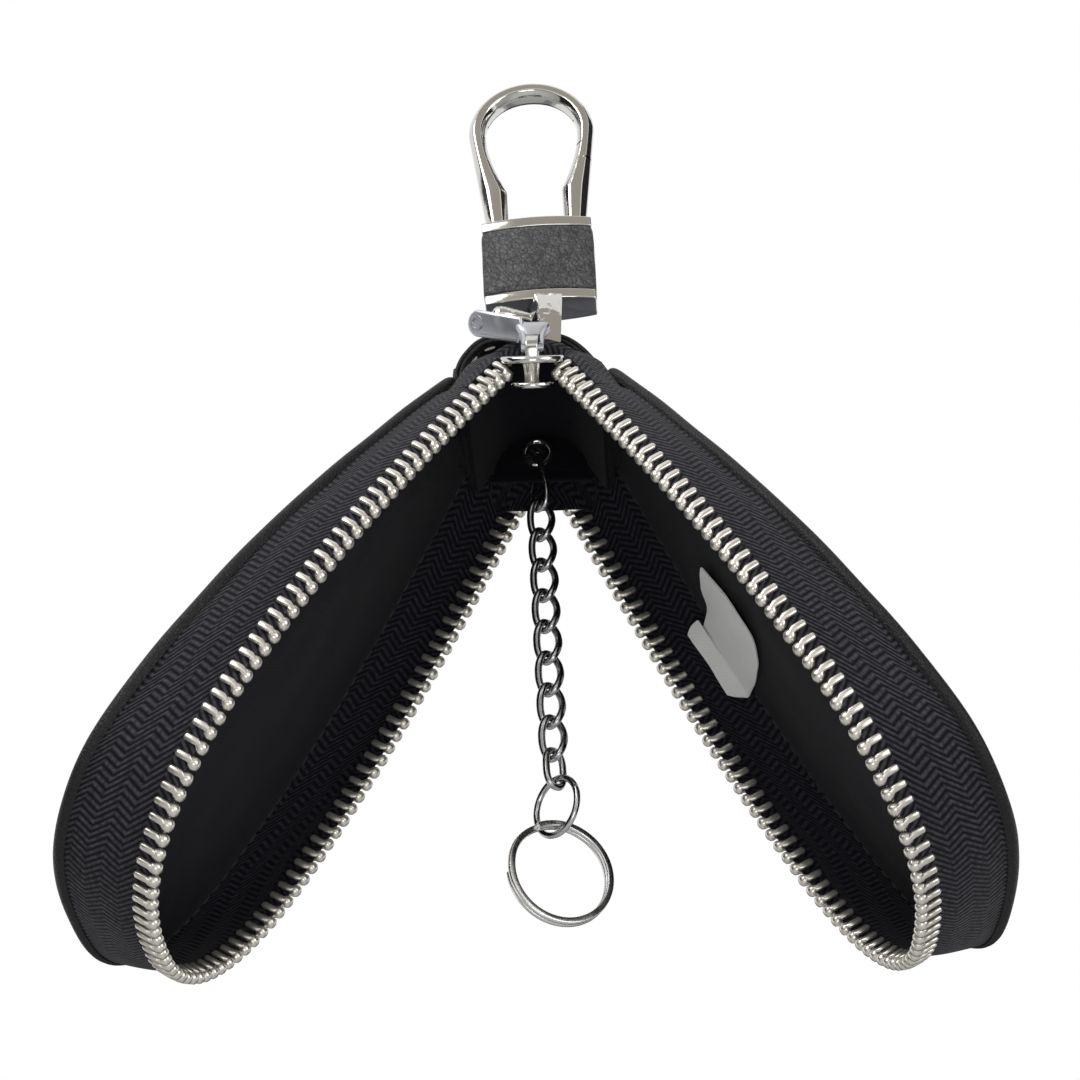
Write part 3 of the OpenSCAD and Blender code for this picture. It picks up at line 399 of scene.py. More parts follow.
# Satin label ribbon, woven at 0.3 mm.
LABEL_SATIN = PlainCloth("white_satin_ribbon", "#cfcfcd", 0.5, light="#dedede", thread_mm=0.35,
                         depth_mm=0.02, sheen=0.3)
FIBRE_BOARD = Speckled("pressed_fibre_board", "#7c6d50", 0.8)


@dataclass
class Shell:
    """Points, faces, the place of each face corner on the surface, and each face's finish."""

    points: np.ndarray
    faces: list[tuple[int, ...]]
    corners: list[tuple[float, float]]
    marks: list[int]

    def joined(self, *others: "Shell") -> "Shell":
        """This shell and others as one, each still a solid of its own.

        Args:
            others: The other shells.

        Returns:
            The joined shell.
        """
        points, faces = [self.points], list(self.faces)
        corners, marks = list(self.corners), list(self.marks)
        start = len(self.points)
        for other in others:
            points.append(other.points)
            faces += [tuple(i + start for i in face) for face in other.faces]
            corners += other.corners
            marks += other.marks
            start += len(other.points)
        return Shell(np.vstack(points), faces, corners, marks)

    def moved(self, matrix: Matrix) -> "Shell":
        """This shell in another frame."""
        return Shell(carry(matrix, self.points), self.faces, self.corners, self.marks)


def carry(matrix: Matrix, points: np.ndarray) -> np.ndarray:
    """Takes points, in an array's last axis, from the frame of a matrix to the outer one."""
    table = np.array(matrix)
    return points @ table[:3, :3].T + table[:3, 3]


def loft(rings: np.ndarray, closed: bool = False, marks: Sequence[int] | None = None) -> Shell:
    """Joins rings of points into a closed shell, laid out in mm on its surface.

    Args:
        rings: The rings, as an array of ring, point and coordinate.
        closed: Whether the last ring joins the first. If not, both ends get a face.
        marks: The finish of each face round a ring, or none for the first finish.

    Returns:
        The shell.
    """
    count, width = rings.shape[:2]
    around = np.linalg.norm(np.roll(rings, -1, axis=1) - rings, axis=2)
    across = np.concatenate([np.zeros((count, 1)), np.cumsum(around, axis=1)], axis=1)
    steps = np.linalg.norm(np.roll(rings, -1, axis=0) - rings, axis=2).mean(axis=1)
    along = np.concatenate([[0.0], np.cumsum(steps)])
    marks = marks or [0] * width
    shell = Shell(rings.reshape(-1, 3), [], [], [])
    for i in range(count if closed else count - 1):
        k = (i + 1) % count
        for j in range(width):
            n = (j + 1) % width
            shell.faces.append((i * width + j, i * width + n, k * width + n, k * width + j))
            shell.corners += [(along[i], across[i, j]), (along[i], across[i, j + 1]),
                              (along[i + 1], across[k, j + 1]), (along[i + 1], across[k, j])]
            shell.marks.append(marks[j])
    if not closed:
        for i in (0, count - 1):
            shell.faces.append(tuple(i * width + j for j in range(width)))
            shell.corners += [(along[i], across[i, j]) for j in range(width)]
            shell.marks.append(marks[0])
    return shell


def unit(vectors: np.ndarray) -> np.ndarray:
    """Vectors, in an array's last axis, at a length of one."""
    return vectors / np.linalg.norm(vectors, axis=-1, keepdims=True)


def at_height(flat: np.ndarray, height: float | np.ndarray) -> np.ndarray:
    """Flat points with a height."""
    return np.column_stack([flat, np.broadcast_to(height, (len(flat),))])


def frames_along(path: np.ndarray, side_axis: np.ndarray, closed: bool = False) -> np.ndarray:
    """Directions of a section that is carried along a path.

    Args:
        path: The path's points.
        side_axis: The direction that the section's first axis keeps as near as it can.
        closed: Whether the path joins its own start.

    Returns:
        For each point, the section's first and second axis.
    """
    if closed:
        travel = np.roll(path, -1, axis=0) - np.roll(path, 1, axis=0)
    else:
        travel = np.gradient(path, axis=0)
    travel = unit(travel)
    first = unit(side_axis - travel * (travel @ side_axis)[:, None])
    return np.stack([first, np.cross(travel, first)], axis=1)


def sweep(path: np.ndarray, section: np.ndarray, side_axis: Sequence[float],
          closed: bool = False, marks: Sequence[int] | None = None) -> Shell:
    """Carries a section along a path.

    Args:
        path: The path's points.
        section: The section's points, as first and second coordinate.
        side_axis: The direction that the section's first axis keeps.
        closed: Whether the path joins its own start.
        marks: The finish of each face round the section.

    Returns:
        The swept shell.
    """
    axes = frames_along(path, np.array(side_axis, float), closed)
    rings = path[:, None, :] + section[None, :, :1] * axes[:, None, 0] \
        + section[None, :, 1:] * axes[:, None, 1]
    return loft(rings, closed, marks)


def revolve(profile: np.ndarray, steps: int) -> Shell:
    """Turns a closed profile of radius and height about Z.

    Args:
        profile: The profile's points.
        steps: The number of sections.

    Returns:
        The round shell.
    """
    turn = np.arange(steps) * 2 * math.pi / steps
    rings = np.stack([profile[None, :, 0] * np.cos(turn)[:, None],
                      profile[None, :, 0] * np.sin(turn)[:, None],
                      np.broadcast_to(profile[None, :, 1], (steps, len(profile)))], axis=2)
    return loft(rings, closed=True)


def corner_curve(start: np.ndarray, corner: np.ndarray, end: np.ndarray,
                 turns: np.ndarray) -> np.ndarray:
    """Points of the curve that cuts a corner, at some shares of its way."""
    t = turns[:, None]
    return (1 - t) ** 2 * start + 2 * t * (1 - t) * corner + t * t * end


def rounded(outline: Sequence[Sequence[float]], radius: float, steps: int = 4) -> np.ndarray:
    """Rounds every corner of a closed flat outline.

    Args:
        outline: The corners.
        radius: How far from a corner its rounding starts.
        steps: The number of points at each corner, less one.

    Returns:
        The rounded outline.
    """
    corners = np.array(outline, float)
    found = []
    for i, corner in enumerate(corners):
        before, after = corners[i - 1], corners[(i + 1) % len(corners)]
        a, b = (corner + (end - corner) * min(0.5, radius / np.linalg.norm(end - corner))
                for end in (before, after))
        found.append(corner_curve(a, corner, b, np.arange(steps + 1) / steps))
    return np.vstack(found)


def bar_section(half_x: float, half_y: float, radius: float, steps: int = 4) -> np.ndarray:
    """Section of a flat bar with rounded corners."""
    return rounded([(-half_x, -half_y), (half_x, -half_y), (half_x, half_y), (-half_x, half_y)],
                   radius, steps)


def round_points(turns: np.ndarray, first: float, second: float | None = None) -> np.ndarray:
    """Points of a flat circle or ellipse about the origin, at some turns in radians."""
    return np.stack([first * np.cos(turns), (second or first) * np.sin(turns)], axis=1)


def squared(wave: np.ndarray, power: float) -> np.ndarray:
    """A sine or cosine, made squarer by a power under 1."""
    return np.sign(wave) * np.abs(wave) ** power


def left_of(path: np.ndarray) -> np.ndarray:
    """The direction to the left of a flat path, at each of its points."""
    travel = unit(np.gradient(path, axis=0))
    return np.stack([-travel[:, 1], travel[:, 0]], axis=1)


def turned(degrees: float, axis: str) -> Matrix:
    """A turn about an axis."""
    return Matrix.Rotation(math.radians(degrees), 4, axis)


def prism(outline: Sequence[Sequence[float]], half_y: float) -> Shell:
    """A solid with one outline in the XZ plane all the way along Y."""
    return loft(np.array([[(x, y, z) for x, z in outline] for y in (-half_y, half_y)]))


def plate(outline: np.ndarray, low: float, high: float, edge: float) -> Shell:
    """A flat plate of an outline about the origin, with rounded edges.

    Args:
        outline: The outline's points, which its middle sees.
        low: The height of the lower face.
        high: The height of the upper face.
        edge: The radius of the edges.

    Returns:
        The plate's shell.
    """
    middle = outline.mean(axis=0)
    reach = np.linalg.norm(outline - middle, axis=1, keepdims=True)
    rings = []
    for base, sign in ((low, 1), (high, -1)):
        arc = [math.radians(a) for a in (0, 22.5, 45, 67.5, 90)]
        rows = []
        for a in arc if sign > 0 else reversed(arc):
            inset = edge * (1 - math.sin(a))
            ring = middle + (outline - middle) * (1 - inset / reach)
            height = np.full((len(outline), 1), base + sign * edge * (1 - math.cos(a)))
            rows.append(np.hstack([ring, height]))
        rings += rows
    return loft(np.array(rings))


def smooth_line(points: Sequence[Sequence[float]], steps: int) -> np.ndarray:
    """A smooth curve through points.

    Args:
        points: The points.
        steps: The number of steps from one point to the next.

    Returns:
        The curve's points.
    """
    p = np.array(points, float)
    p = np.vstack([2 * p[0] - p[1], p, 2 * p[-1] - p[-2]])
    found = []
    for i in range(1, len(p) - 2):
        for k in range(steps):
            t = k / steps
            found.append(0.5 * (2 * p[i] + (p[i + 1] - p[i - 1]) * t
                                + (2 * p[i - 1] - 5 * p[i] + 4 * p[i + 1] - p[i + 2]) * t * t
                                + (3 * p[i] - p[i - 1] - 3 * p[i + 1] + p[i + 2]) * t ** 3))
    found.append(p[-2])
    return np.array(found)


def uneven(points: np.ndarray, size_mm: float, depth_mm: float) -> np.ndarray:
    """Soft unevenness, the same on each run.

    Args:
        points: Where it is asked for, in the last axis of the array.
        size_mm: The width of a dent.
        depth_mm: How far a dent reaches.

    Returns:
        A distance for each point.
    """
    flat = points.reshape(-1, 3) / size_mm
    values = [noise.noise(Vector(p)) for p in flat]
    return np.array(values).reshape(points.shape[:-1]) * depth_mm


def tidy(mesh: Mesh, smooth_deg: float, merge: bool = True) -> None:
    """Merges what lies together, turns the faces outwards and smooths the soft edges.

    Args:
        mesh: The mesh.
        smooth_deg: Edges flatter than this are smooth.
        merge: Whether points that lie together become one.
    """
    work = bmesh.new()
    work.from_mesh(mesh)
    if merge:
        bmesh.ops.remove_doubles(work, verts=work.verts, dist=0.002 * MM)
        bmesh.ops.dissolve_degenerate(work, edges=work.edges, dist=0.0005 * MM)
    bmesh.ops.recalc_face_normals(work, faces=work.faces)
    work.to_mesh(mesh)
    work.free()
    mesh.shade_smooth()
    mesh.set_sharp_from_angle(angle=math.radians(smooth_deg))


def in_metres(matrix: Matrix) -> Matrix:
    """A frame in mm as the same frame in metres.

    Args:
        matrix: The frame in mm.

    Returns:
        The frame in metres.
    """
    found = matrix.copy()
    found.translation = found.translation * MM
    return found


def link_object(name: str, mesh: Mesh) -> Piece:
    """Puts a mesh into the scene under a name.

    Args:
        name: The name.
        mesh: The mesh.

    Returns:
        Its object.
    """
    mesh.name = name
    piece = bpy.data.objects.new(name, mesh)
    bpy.context.scene.collection.objects.link(piece)
    return piece


def make_mesh(shell: Shell, matrix: Matrix, finishes: Sequence[Finish],
              smooth_deg: float = 40.0) -> Mesh:
    """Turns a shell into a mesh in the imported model's frame.

    Args:
        shell: The shell, in mm.
        matrix: The frame that it is in.
        finishes: Its finishes, in the order of its marks.
        smooth_deg: Edges flatter than this are smooth.

    Returns:
        The mesh.
    """
    mesh = bpy.data.meshes.new("shell")
    mesh.from_pydata((carry(matrix, shell.points) * MM).tolist(), [], shell.faces)
    mesh.polygons.foreach_set("material_index", shell.marks)
    layer = mesh.uv_layers.new(name="UVMap")
    layer.data.foreach_set("uv", np.array(shell.corners, np.float32).ravel() * MM)
    for finish in finishes:
        mesh.materials.append(finish.material())
    tidy(mesh, smooth_deg)
    return mesh


def evaluated(piece: Piece) -> Mesh:
    """The mesh that an object's modifiers give, as a plain mesh. The object is removed.

    Args:
        piece: The object.

    Returns:
        The mesh.
    """
    depsgraph = bpy.context.evaluated_depsgraph_get()
    mesh = bpy.data.meshes.new_from_object(piece.evaluated_get(depsgraph))
    piece.modifiers.clear()
    bpy.data.objects.remove(piece)
    return mesh


def cut(mesh: Mesh, cutter: Mesh, smooth_deg: float) -> Mesh:
    """Takes one solid away from another.

    Args:
        mesh: What is cut.
        cutter: What is taken away.
        smooth_deg: Edges flatter than this are smooth afterwards.

    Returns:
        What is left.
    """
    piece, tool = link_object("cut_piece", mesh), link_object("cut_tool", cutter)
    modifier = piece.modifiers.new("cut", "BOOLEAN")
    modifier.operation, modifier.solver, modifier.object = "DIFFERENCE", "EXACT", tool
    found = evaluated(piece)
    bpy.data.objects.remove(tool)
    tidy(found, smooth_deg)
    return found


class PathTree:
    """A node tree that is run on a path and gives one mesh of one finish."""

    def __init__(self, name: str, **inputs: str) -> None:
        """Makes the tree, its sockets and the curve along its path.

        Args:
            name: The tree's name.
            inputs: The kinds of its own inputs, between its path and its finish.
        """
        self.tree = bpy.data.node_groups.new(name, "GeometryNodeTree")
        sockets = {"Path": "Geometry", **inputs, "Finish": "Material"}
        for label, kind in sockets.items():
            self.tree.interface.new_socket(label, in_out="INPUT", socket_type=f"NodeSocket{kind}")
        self.tree.interface.new_socket("Result", in_out="OUTPUT",
                                       socket_type="NodeSocketGeometry")
        self.given = add(self.tree, "NodeGroupInput").outputs
        self.curve = add(self.tree, "GeometryNodeMeshToCurve", {
            "Mesh": self.given["Path"]}).outputs[0]

    def give(self, geometry: Socket) -> None:
        """Makes the tree's geometry real, dresses it and gives it out.

        Args:
            geometry: The geometry.
        """
        real = add(self.tree, "GeometryNodeRealizeInstances", {"Geometry": geometry})
        dressed = add(self.tree, "GeometryNodeSetMaterial", {
            "Geometry": real.outputs[0], "Material": self.given["Finish"]})
        add(self.tree, "NodeGroupOutput", {0: dressed.outputs[0]})

    def result(self, path: np.ndarray, values: dict[str, object], closed: bool = False) -> Mesh:
        """Runs the tree on a path.

        Args:
            path: The path's points, in mm.
            values: What the tree's named inputs take.
            closed: Whether the path joins its own start.

        Returns:
            The result as a plain mesh, in metres.
        """
        mesh = bpy.data.meshes.new("path")
        count = len(path)
        edges = [(i, (i + 1) % count) for i in range(count if closed else count - 1)]
        mesh.from_pydata((path * MM).tolist(), edges, [])
        carrier = link_object("path", mesh)
        modifier = carrier.modifiers.new("nodes", "NODES")
        modifier.node_group = self.tree
        for item in self.tree.interface.items_tree:
            if item.in_out == "INPUT" and item.name in values:
                modifier[item.identifier] = values[item.name]
        return evaluated(carrier)


class RowTree(PathTree):
    """Sets copies of one piece at even steps along a path."""

    def __init__(self, name: str, pivot: Pivot) -> None:
        """Builds the tree.

        Args:
            name: The tree's name.
            pivot: How the copies turn to face along the path.
        """
        super().__init__(name, Piece="Object", Count="Int", Tilt="Float", Seed="Int")
        given = self.given
        points = add(self.tree, "GeometryNodeResampleCurve", {
            "Curve": self.curve, "Count": given["Count"]})
        travel = add(self.tree, "GeometryNodeInputTangent")
        facing = add(self.tree, "FunctionNodeAlignRotationToVector", {
            "Vector": travel.outputs[0]}, axis="X", pivot_axis=pivot.value)
        tilt = add(self.tree, "FunctionNodeRandomValue", {
            0: reckon(self.tree, "MULTIPLY", given["Tilt"], -1.0), 1: given["Tilt"],
            "Seed": given["Seed"]}, data_type="FLOAT_VECTOR")
        whole = add(self.tree, "FunctionNodeRotateRotation", {
            "Rotation": facing.outputs[0], "Rotate By": tilt.outputs[0]},
            rotation_space="LOCAL")
        piece = add(self.tree, "GeometryNodeObjectInfo", {"Object": given["Piece"]})
        self.give(add(self.tree, "GeometryNodeInstanceOnPoints", {
            "Points": points.outputs[0], "Instance": piece.outputs["Geometry"],
            "Rotation": whole.outputs[0]}).outputs[0])

    def run(self, path: np.ndarray, piece: Mesh, count: int, finish: Finish,
            tilt_deg: float) -> Mesh:
        """Sets the copies along a path.

        Args:
            path: The path's points, in mm.
            piece: One copy's mesh, in metres, which faces along X.
            count: The number of copies, from the path's start to its end.
            finish: The copies' finish.
            tilt_deg: The most that a copy is tilted.

        Returns:
            The row as one mesh, in metres, in the path's frame.
        """
        master = link_object("row_master", piece.copy())
        found = self.result(path, {
            "Piece": master, "Count": count, "Tilt": math.radians(tilt_deg), "Seed": SEED,
            "Finish": finish.material()})
        bpy.data.objects.remove(master)
        return found


class WireTree(PathTree):
    """Draws a round wire along a path."""

    def __init__(self, name: str) -> None:
        """Builds the tree under a name.

        Args:
            name: The name.
        """
        super().__init__(name, Radius="Float", Sides="Int")
        section = add(self.tree, "GeometryNodeCurvePrimitiveCircle", {
            "Resolution": self.given["Sides"], "Radius": self.given["Radius"]})
        self.give(add(self.tree, "GeometryNodeCurveToMesh", {
            "Curve": self.curve, "Profile Curve": section.outputs[0],
            "Fill Caps": True}).outputs[0])

    def run(self, path: np.ndarray, wire: float, finish: Finish, closed: bool = True) -> Mesh:
        """Draws the wire.

        Args:
            path: The path's points, in mm.
            wire: The wire's thickness, in mm.
            finish: Its finish.
            closed: Whether it joins its own start.

        Returns:
            The wire's mesh, in metres, in the path's frame.
        """
        found = self.result(path, {
            "Radius": wire / 2 * MM, "Sides": 14, "Finish": finish.material()}, closed)
        tidy(found, 50.0)
        return found


def point_at(path: np.ndarray, distance: float) -> np.ndarray:
    """The point at a distance along a path."""
    run = np.concatenate([[0.0], np.cumsum(np.linalg.norm(np.diff(path, axis=0), axis=1))])
    return np.array([np.interp(distance, run, path[:, k]) for k in range(path.shape[1])])


def length_of(path: np.ndarray) -> float:
    """The length of a path."""
    return float(np.linalg.norm(np.diff(path, axis=0), axis=1).sum())


@dataclass(frozen=True)
class Hanging:
    """How the case hangs, and the frames of its parts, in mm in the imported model's frame."""

    bar_drop: float = 63.65
    bar_rise: float = 12.3
    bar_shift: float = 1.2
    lean_deg: float = 2.6
    half_angle_deg: float = 30.5
    row_x: float = 2.1
    panel_z0: float = 10.5
    panel_tilt_deg: float = 2.03
    slider_front: float = 22.25
    slider_below: float = 2.3
    slider_pitch_deg: float = 37.0

    def case(self) -> Matrix:
        """The frame of the case, midway between the starts of the zip's rows."""
        return (Matrix.Translation((0, 0, -self.bar_drop)) @ turned(self.lean_deg, "Y")
                @ Matrix.Translation((-self.bar_shift, 0, -self.bar_rise)))

    def half(self, side: Side) -> Matrix:
        """The frame of a half: X down the half, Y across it and Z out to its panel."""
        return (self.case() @ Matrix.Diagonal((side.value, 1, 1, 1))
                @ Matrix.Translation((self.row_x, 0, 0)) @ turned(90 - self.half_angle_deg, "Y"))

    def panel(self, side: Side) -> Matrix:
        """The frame of a half's panel, whose inner face is at height zero."""
        return (self.half(side) @ Matrix.Translation((0, 0, self.panel_z0))
                @ turned(-self.panel_tilt_deg, "Y"))

    def slider(self) -> Matrix:
        """The frame of the slider: its tail is towards Y, its puller's side is up."""
        return (self.case() @ Matrix.Translation((0, -self.slider_front, -self.slider_below))
                @ turned(self.slider_pitch_deg, "X"))

    def half_point(self, side: Side, s: float, y: float, z: float) -> np.ndarray:
        """A point of a half in the case's frame, in mm."""
        a = math.radians(self.half_angle_deg)
        return np.array([side.value * (self.row_x + z * math.cos(a) + s * math.sin(a)), y,
                         z * math.sin(a) - s * math.cos(a)])

    def panel_face(self, s: float | np.ndarray) -> float | np.ndarray:
        """Height of the panel's inner face over the row, at a distance down the half."""
        return self.panel_z0 + s * math.tan(math.radians(self.panel_tilt_deg))

    def spot(self, side: Side, s: float, y: float, z: float) -> tuple[float, ...]:
        """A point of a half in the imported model's frame, in metres."""
        return tuple(self.half(side) @ Vector((s, y, z)) * MM)

    def case_spot(self, x: float, y: float, z: float) -> tuple[float, ...]:
        """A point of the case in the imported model's frame, in metres."""
        return tuple(self.case() @ Vector((x, y, z)) * MM)


@dataclass(frozen=True)
class Outline:
    """A U outline: down a flank, round a squarish end and up the other flank."""

    w0: float
    wm: float
    sm: float
    length: float
    squareness: float
    flank_steps: int = 44
    end_steps: int = 44

    def half_width(self, s: float | np.ndarray) -> float | np.ndarray:
        """Half the width at a distance down the flank."""
        return self.w0 + (self.wm - self.w0) * np.sin(np.radians(90 * s / self.sm))

    def flank(self, s0: float, inset: float = 0.0) -> np.ndarray:
        """One side, from the top to the tip.

        Args:
            s0: Where it starts.
            inset: How far it is drawn in.

        Returns:
            Its points, as distance down and half-width.
        """
        s = s0 + (self.sm - s0) * np.arange(self.flank_steps) / self.flank_steps
        straight = np.stack([s, self.half_width(s) - inset], axis=1)
        turn = np.radians(90 * np.arange(self.end_steps + 1) / self.end_steps)
        power = 2 / self.squareness
        bend = np.stack([
            self.sm + (self.length - inset - self.sm) * np.sin(turn) ** power,
            (self.wm - inset) * np.maximum(0, np.cos(turn)) ** power], axis=1)
        return np.vstack([straight, bend])

    def path(self, near_s: float, far_s: float, inset: float = 0.0) -> np.ndarray:
        """The whole U, drawn in by an inset, from its near start round the tip to its far one."""
        near, far = self.flank(near_s, inset), self.flank(far_s, inset)
        return np.vstack([near * [1, -1], far[-2::-1]])

    def ring(self, s0: float, inset: float, corner: float = 2.4) -> np.ndarray:
        """The closed outline: the U and the straight edge across its top, with round corners.

        Args:
            s0: Where the top edge is.
            inset: How far the outline is drawn in.
            corner: How far from a corner its rounding starts.

        Returns:
            Its points.
        """
        top = s0 + inset
        u = self.path(top + corner, top + corner, inset)
        width = self.half_width(top) - inset
        bend = corner_curve(u[-1], np.array([top, width]), np.array([top, width - corner]),
                            np.linspace(0, 1, 7)[1:])
        edge = np.linspace(bend[-1], bend[-1] * [1, -1], 10)[1:-1]
        return np.vstack([u, bend, edge, bend[::-1] * [1, -1]])


ROW = Outline(20.0, 36.0, 72.0, 110.0, 2.37)
PANEL = Outline(12.8, 37.8, 83.0, 113.5, 2.6)


@dataclass
class SubAssembly:
    """What every sub-assembly does: it puts its pieces into the scene and dresses them."""

    hanging: Hanging = field(default_factory=Hanging)

    def settle(self, piece: Piece, slot: str, body: str | None,
               replaced: Sequence[str] = ()) -> Piece:
        """Hides the nodes that a piece stands for and ties it to the body that it moves with.

        Args:
            piece: The piece.
            slot: Not used.
            body: The body that it moves with, or none.
            replaced: The nodes that it stands for.

        Returns:
            The piece.
        """
        if replaced:
            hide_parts(*replaced)
        if body:
            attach(piece, body)
        LOG.info("%s: %d faces on %s", piece.name, len(piece.data.polygons), body or "two bodies")
        return piece

    def shape(self, name: str, shell: Shell, place: Matrix, finishes: Sequence[Finish],
              slot: str, body: str | None, node: str, smooth_deg: float = 40.0) -> Piece:
        """Makes a piece from a shell and settles it.

        Args:
            name: The piece's name.
            shell: Its shell, in mm.
            place: The frame that the shell is in.
            finishes: Its finishes, in the order of the shell's marks.
            slot: The record's material slot.
            body: The body that it moves with, or none.
            node: The node that it stands for, or an empty word.
            smooth_deg: Edges flatter than this are smooth.

        Returns:
            The piece.
        """
        mesh = make_mesh(shell, place, finishes, smooth_deg)
        return self.settle(link_object(name, mesh), slot, body, (node,) if node else ())

    def keep(self, node: str, finish: Finish) -> None:
        """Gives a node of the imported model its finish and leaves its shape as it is.

        Args:
            node: The node.
            finish: Its finish.
        """
        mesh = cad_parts[node].data
        mesh.materials.clear()
        mesh.materials.append(finish.material())
        LOG.info("%s: kept", node)

    def softened(self, node: str, finish: Finish, width: float, slot: str, body: str,
                 name: str, smooth_deg: float = 30.0) -> Piece:
        """Replaces a node with a copy of it whose edges are rounded.

        Args:
            node: The node.
            finish: The copy's finish.
            width: The width of the rounding, in mm.
            slot: The record's material slot.
            body: The body that it moves with.
            name: The copy's name.
            smooth_deg: Edges flatter than this are smooth.

        Returns:
            The copy.
        """
        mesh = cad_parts[node].data.copy()
        mesh.materials.clear()
        mesh.materials.append(finish.material())
        work = bmesh.new()
        work.from_mesh(mesh)
        bmesh.ops.remove_doubles(work, verts=work.verts, dist=0.005 * MM)
        bmesh.ops.dissolve_limit(work, angle_limit=math.radians(1), verts=work.verts,
                                 edges=work.edges)
        for face in work.faces:
            face.material_index = 0
        work.to_mesh(mesh)
        work.free()
        copy = link_object(name, mesh)
        bevel = copy.modifiers.new("edges", "BEVEL")
        bevel.width, bevel.segments, bevel.limit_method = width * MM, 3, "ANGLE"
        bevel.angle_limit = math.radians(smooth_deg)
        found = evaluated(copy)
        tidy(found, smooth_deg)
        return self.settle(link_object(name, found), slot, body, (node,))


@dataclass
class Hook(SubAssembly):
    """The swivel hook: shackle, spring gate, leather-sleeved block, post and swivel ring."""

    bow_in_r: float = 8.5
    bow_r: float = 11.6
    depth: float = 4.4
    block_drop: float = 30.5
    foot_x: float = 9.0
    foot_in_x: float = 5.0
    kink_h: float = 8.1
    seam_in_drop: float = 12.3
    seam_out_drop: float = 15.9
    seam_gap: float = 0.3
    seam_step_x: float = 9.5
    block_w: float = 19.8
    block_d: float = 7.4
    block_end_d: float = 5.2
    block_h: float = 18.4
    plate_t: float = 2.1
    sleeve_t: float = 0.9
    corner_r: float = 1.1
    pin_x: float = 7.0
    tang_t: float = 2.0
    tang_rise: float = 1.3
    tang_drop: float = 1.4
    toe_reach: float = 0.7
    toe_slope: float = 1.85
    heel_reach: float = 3.8
    heel_half_h: float = 0.6
    foot_gap: float = 0.3
    swing_deg: float = 20.0
    edge_r: float = 0.3
    kink_soft: float = 0.12
    fit: float = 0.05
    stub_step: float = 1.2
    # The sleeve's rolled ends: distance from the end, and how proud of the block it is there.
    sleeve_roll: tuple = ((0, -0.45), (0.04, -0.2), (0.2, 0.02), (0.6, 0.1))

    def arm_out(self, z: float) -> float:
        """Outer half-width of the arms at a height."""
        rise = self.block_drop - self.bow_in_r
        return self.foot_x + (self.bow_r - self.foot_x) * (z + self.block_drop) / rise

    def arm_in(self, z: float) -> float:
        """Inner half-width of the arms at a height: straight feet, then the bow's hollow.

        Args:
            z: The height.

        Returns:
            The half-width.
        """
        rise = self.block_drop - self.bow_in_r - self.kink_h
        if z < self.kink_h - self.block_drop:
            return self.foot_in_x
        hollow = self.bow_in_r - self.foot_in_x
        return self.foot_in_x + hollow * math.cos(math.pi / 2 * (-z - self.bow_in_r) / rise)

    def band(self, stations: Sequence[tuple[Sequence[float], Sequence[float]]]) -> Shell:
        """The hook's eight-sided band, with soft corners.

        Args:
            stations: Its inner and outer point at each station, in the XZ plane.

        Returns:
            The band.
        """
        share = 0.45
        section = rounded([(1, share), (share, 1), (-share, 1), (-1, share), (-1, -share),
                           (-share, -1), (share, -1), (1, -share)], 0.2, 4)
        rings = []
        for inner, outer in stations:
            middle = (np.array(inner) + np.array(outer)) / 2
            reach = (np.array(outer) - np.array(inner)) / 2
            flat = middle + section[:, :1] * reach
            rings.append(np.stack([flat[:, 0], section[:, 1] * self.depth / 2, flat[:, 1]],
                                  axis=1))
        return loft(np.array(rings))

    def arm(self, side: int, heights: Sequence[float]) -> list:
        """Stations of one arm at some heights."""
        return [((side * self.arm_in(z), z), (side * self.arm_out(z), z)) for z in heights]

    def heights(self, start: float, end: float, steps: int = 18) -> list[float]:
        """Heights from one end of an arm to the other, close together at its kink.

        Args:
            start: The first height.
            end: The last height.
            steps: The number of steps from one to the other.

        Returns:
            The heights.
        """
        kink, soft = self.kink_h - self.block_drop, self.kink_soft
        found = [start + (end - start) * i / steps for i in range(steps + 1)]
        found = [z for z in found if abs(z - kink) > 2.5 * soft] + [kink - soft, kink + soft]
        return sorted(found, reverse=start > end)

    def seam_tool(self, upper: bool) -> Mesh:
        """The solid that cuts the band at the gate's stepped seam.

        Args:
            upper: Whether it takes away what is over the seam, and not what is under it.

        Returns:
            The solid's mesh.
        """
        gap = self.seam_gap if upper else 0.0
        x0, x1, far = self.foot_in_x - 1, self.seam_step_x - gap, self.bow_r + 2
        inner, outer = -self.seam_in_drop - gap, -self.seam_out_drop - gap
        end = self.bow_in_r if upper else -self.block_drop - self.plate_t - 1
        corners = [(x0, inner), (x1, inner), (x1, outer), (far, outer), (far, end), (x0, end)]
        return make_mesh(prism(corners, self.depth), UPRIGHT, (CHROME,))

    def shackle(self) -> None:
        """The fixed arm and the bow, down to the gate's seam."""
        top = -self.block_drop
        left = self.arm(-1, self.heights(top - self.plate_t, -self.bow_in_r - 0.4))
        turns = math.pi * (1 - np.arange(57) / 56)
        inner, outer = (round_points(turns, r) - [0, self.bow_in_r]
                        for r in (self.bow_in_r, self.bow_r))
        bow = list(zip(inner, outer))
        right = self.arm(1, [-self.bow_in_r - self.stub_step * i for i in range(1, 8)])
        mesh = make_mesh(self.band(left + bow + right), UPRIGHT, (CHROME,))
        mesh = cut(mesh, self.seam_tool(upper=False), 30.0)
        self.settle(link_object("shackle_bow", mesh), "polished_metal", "hook", ("shackle",))

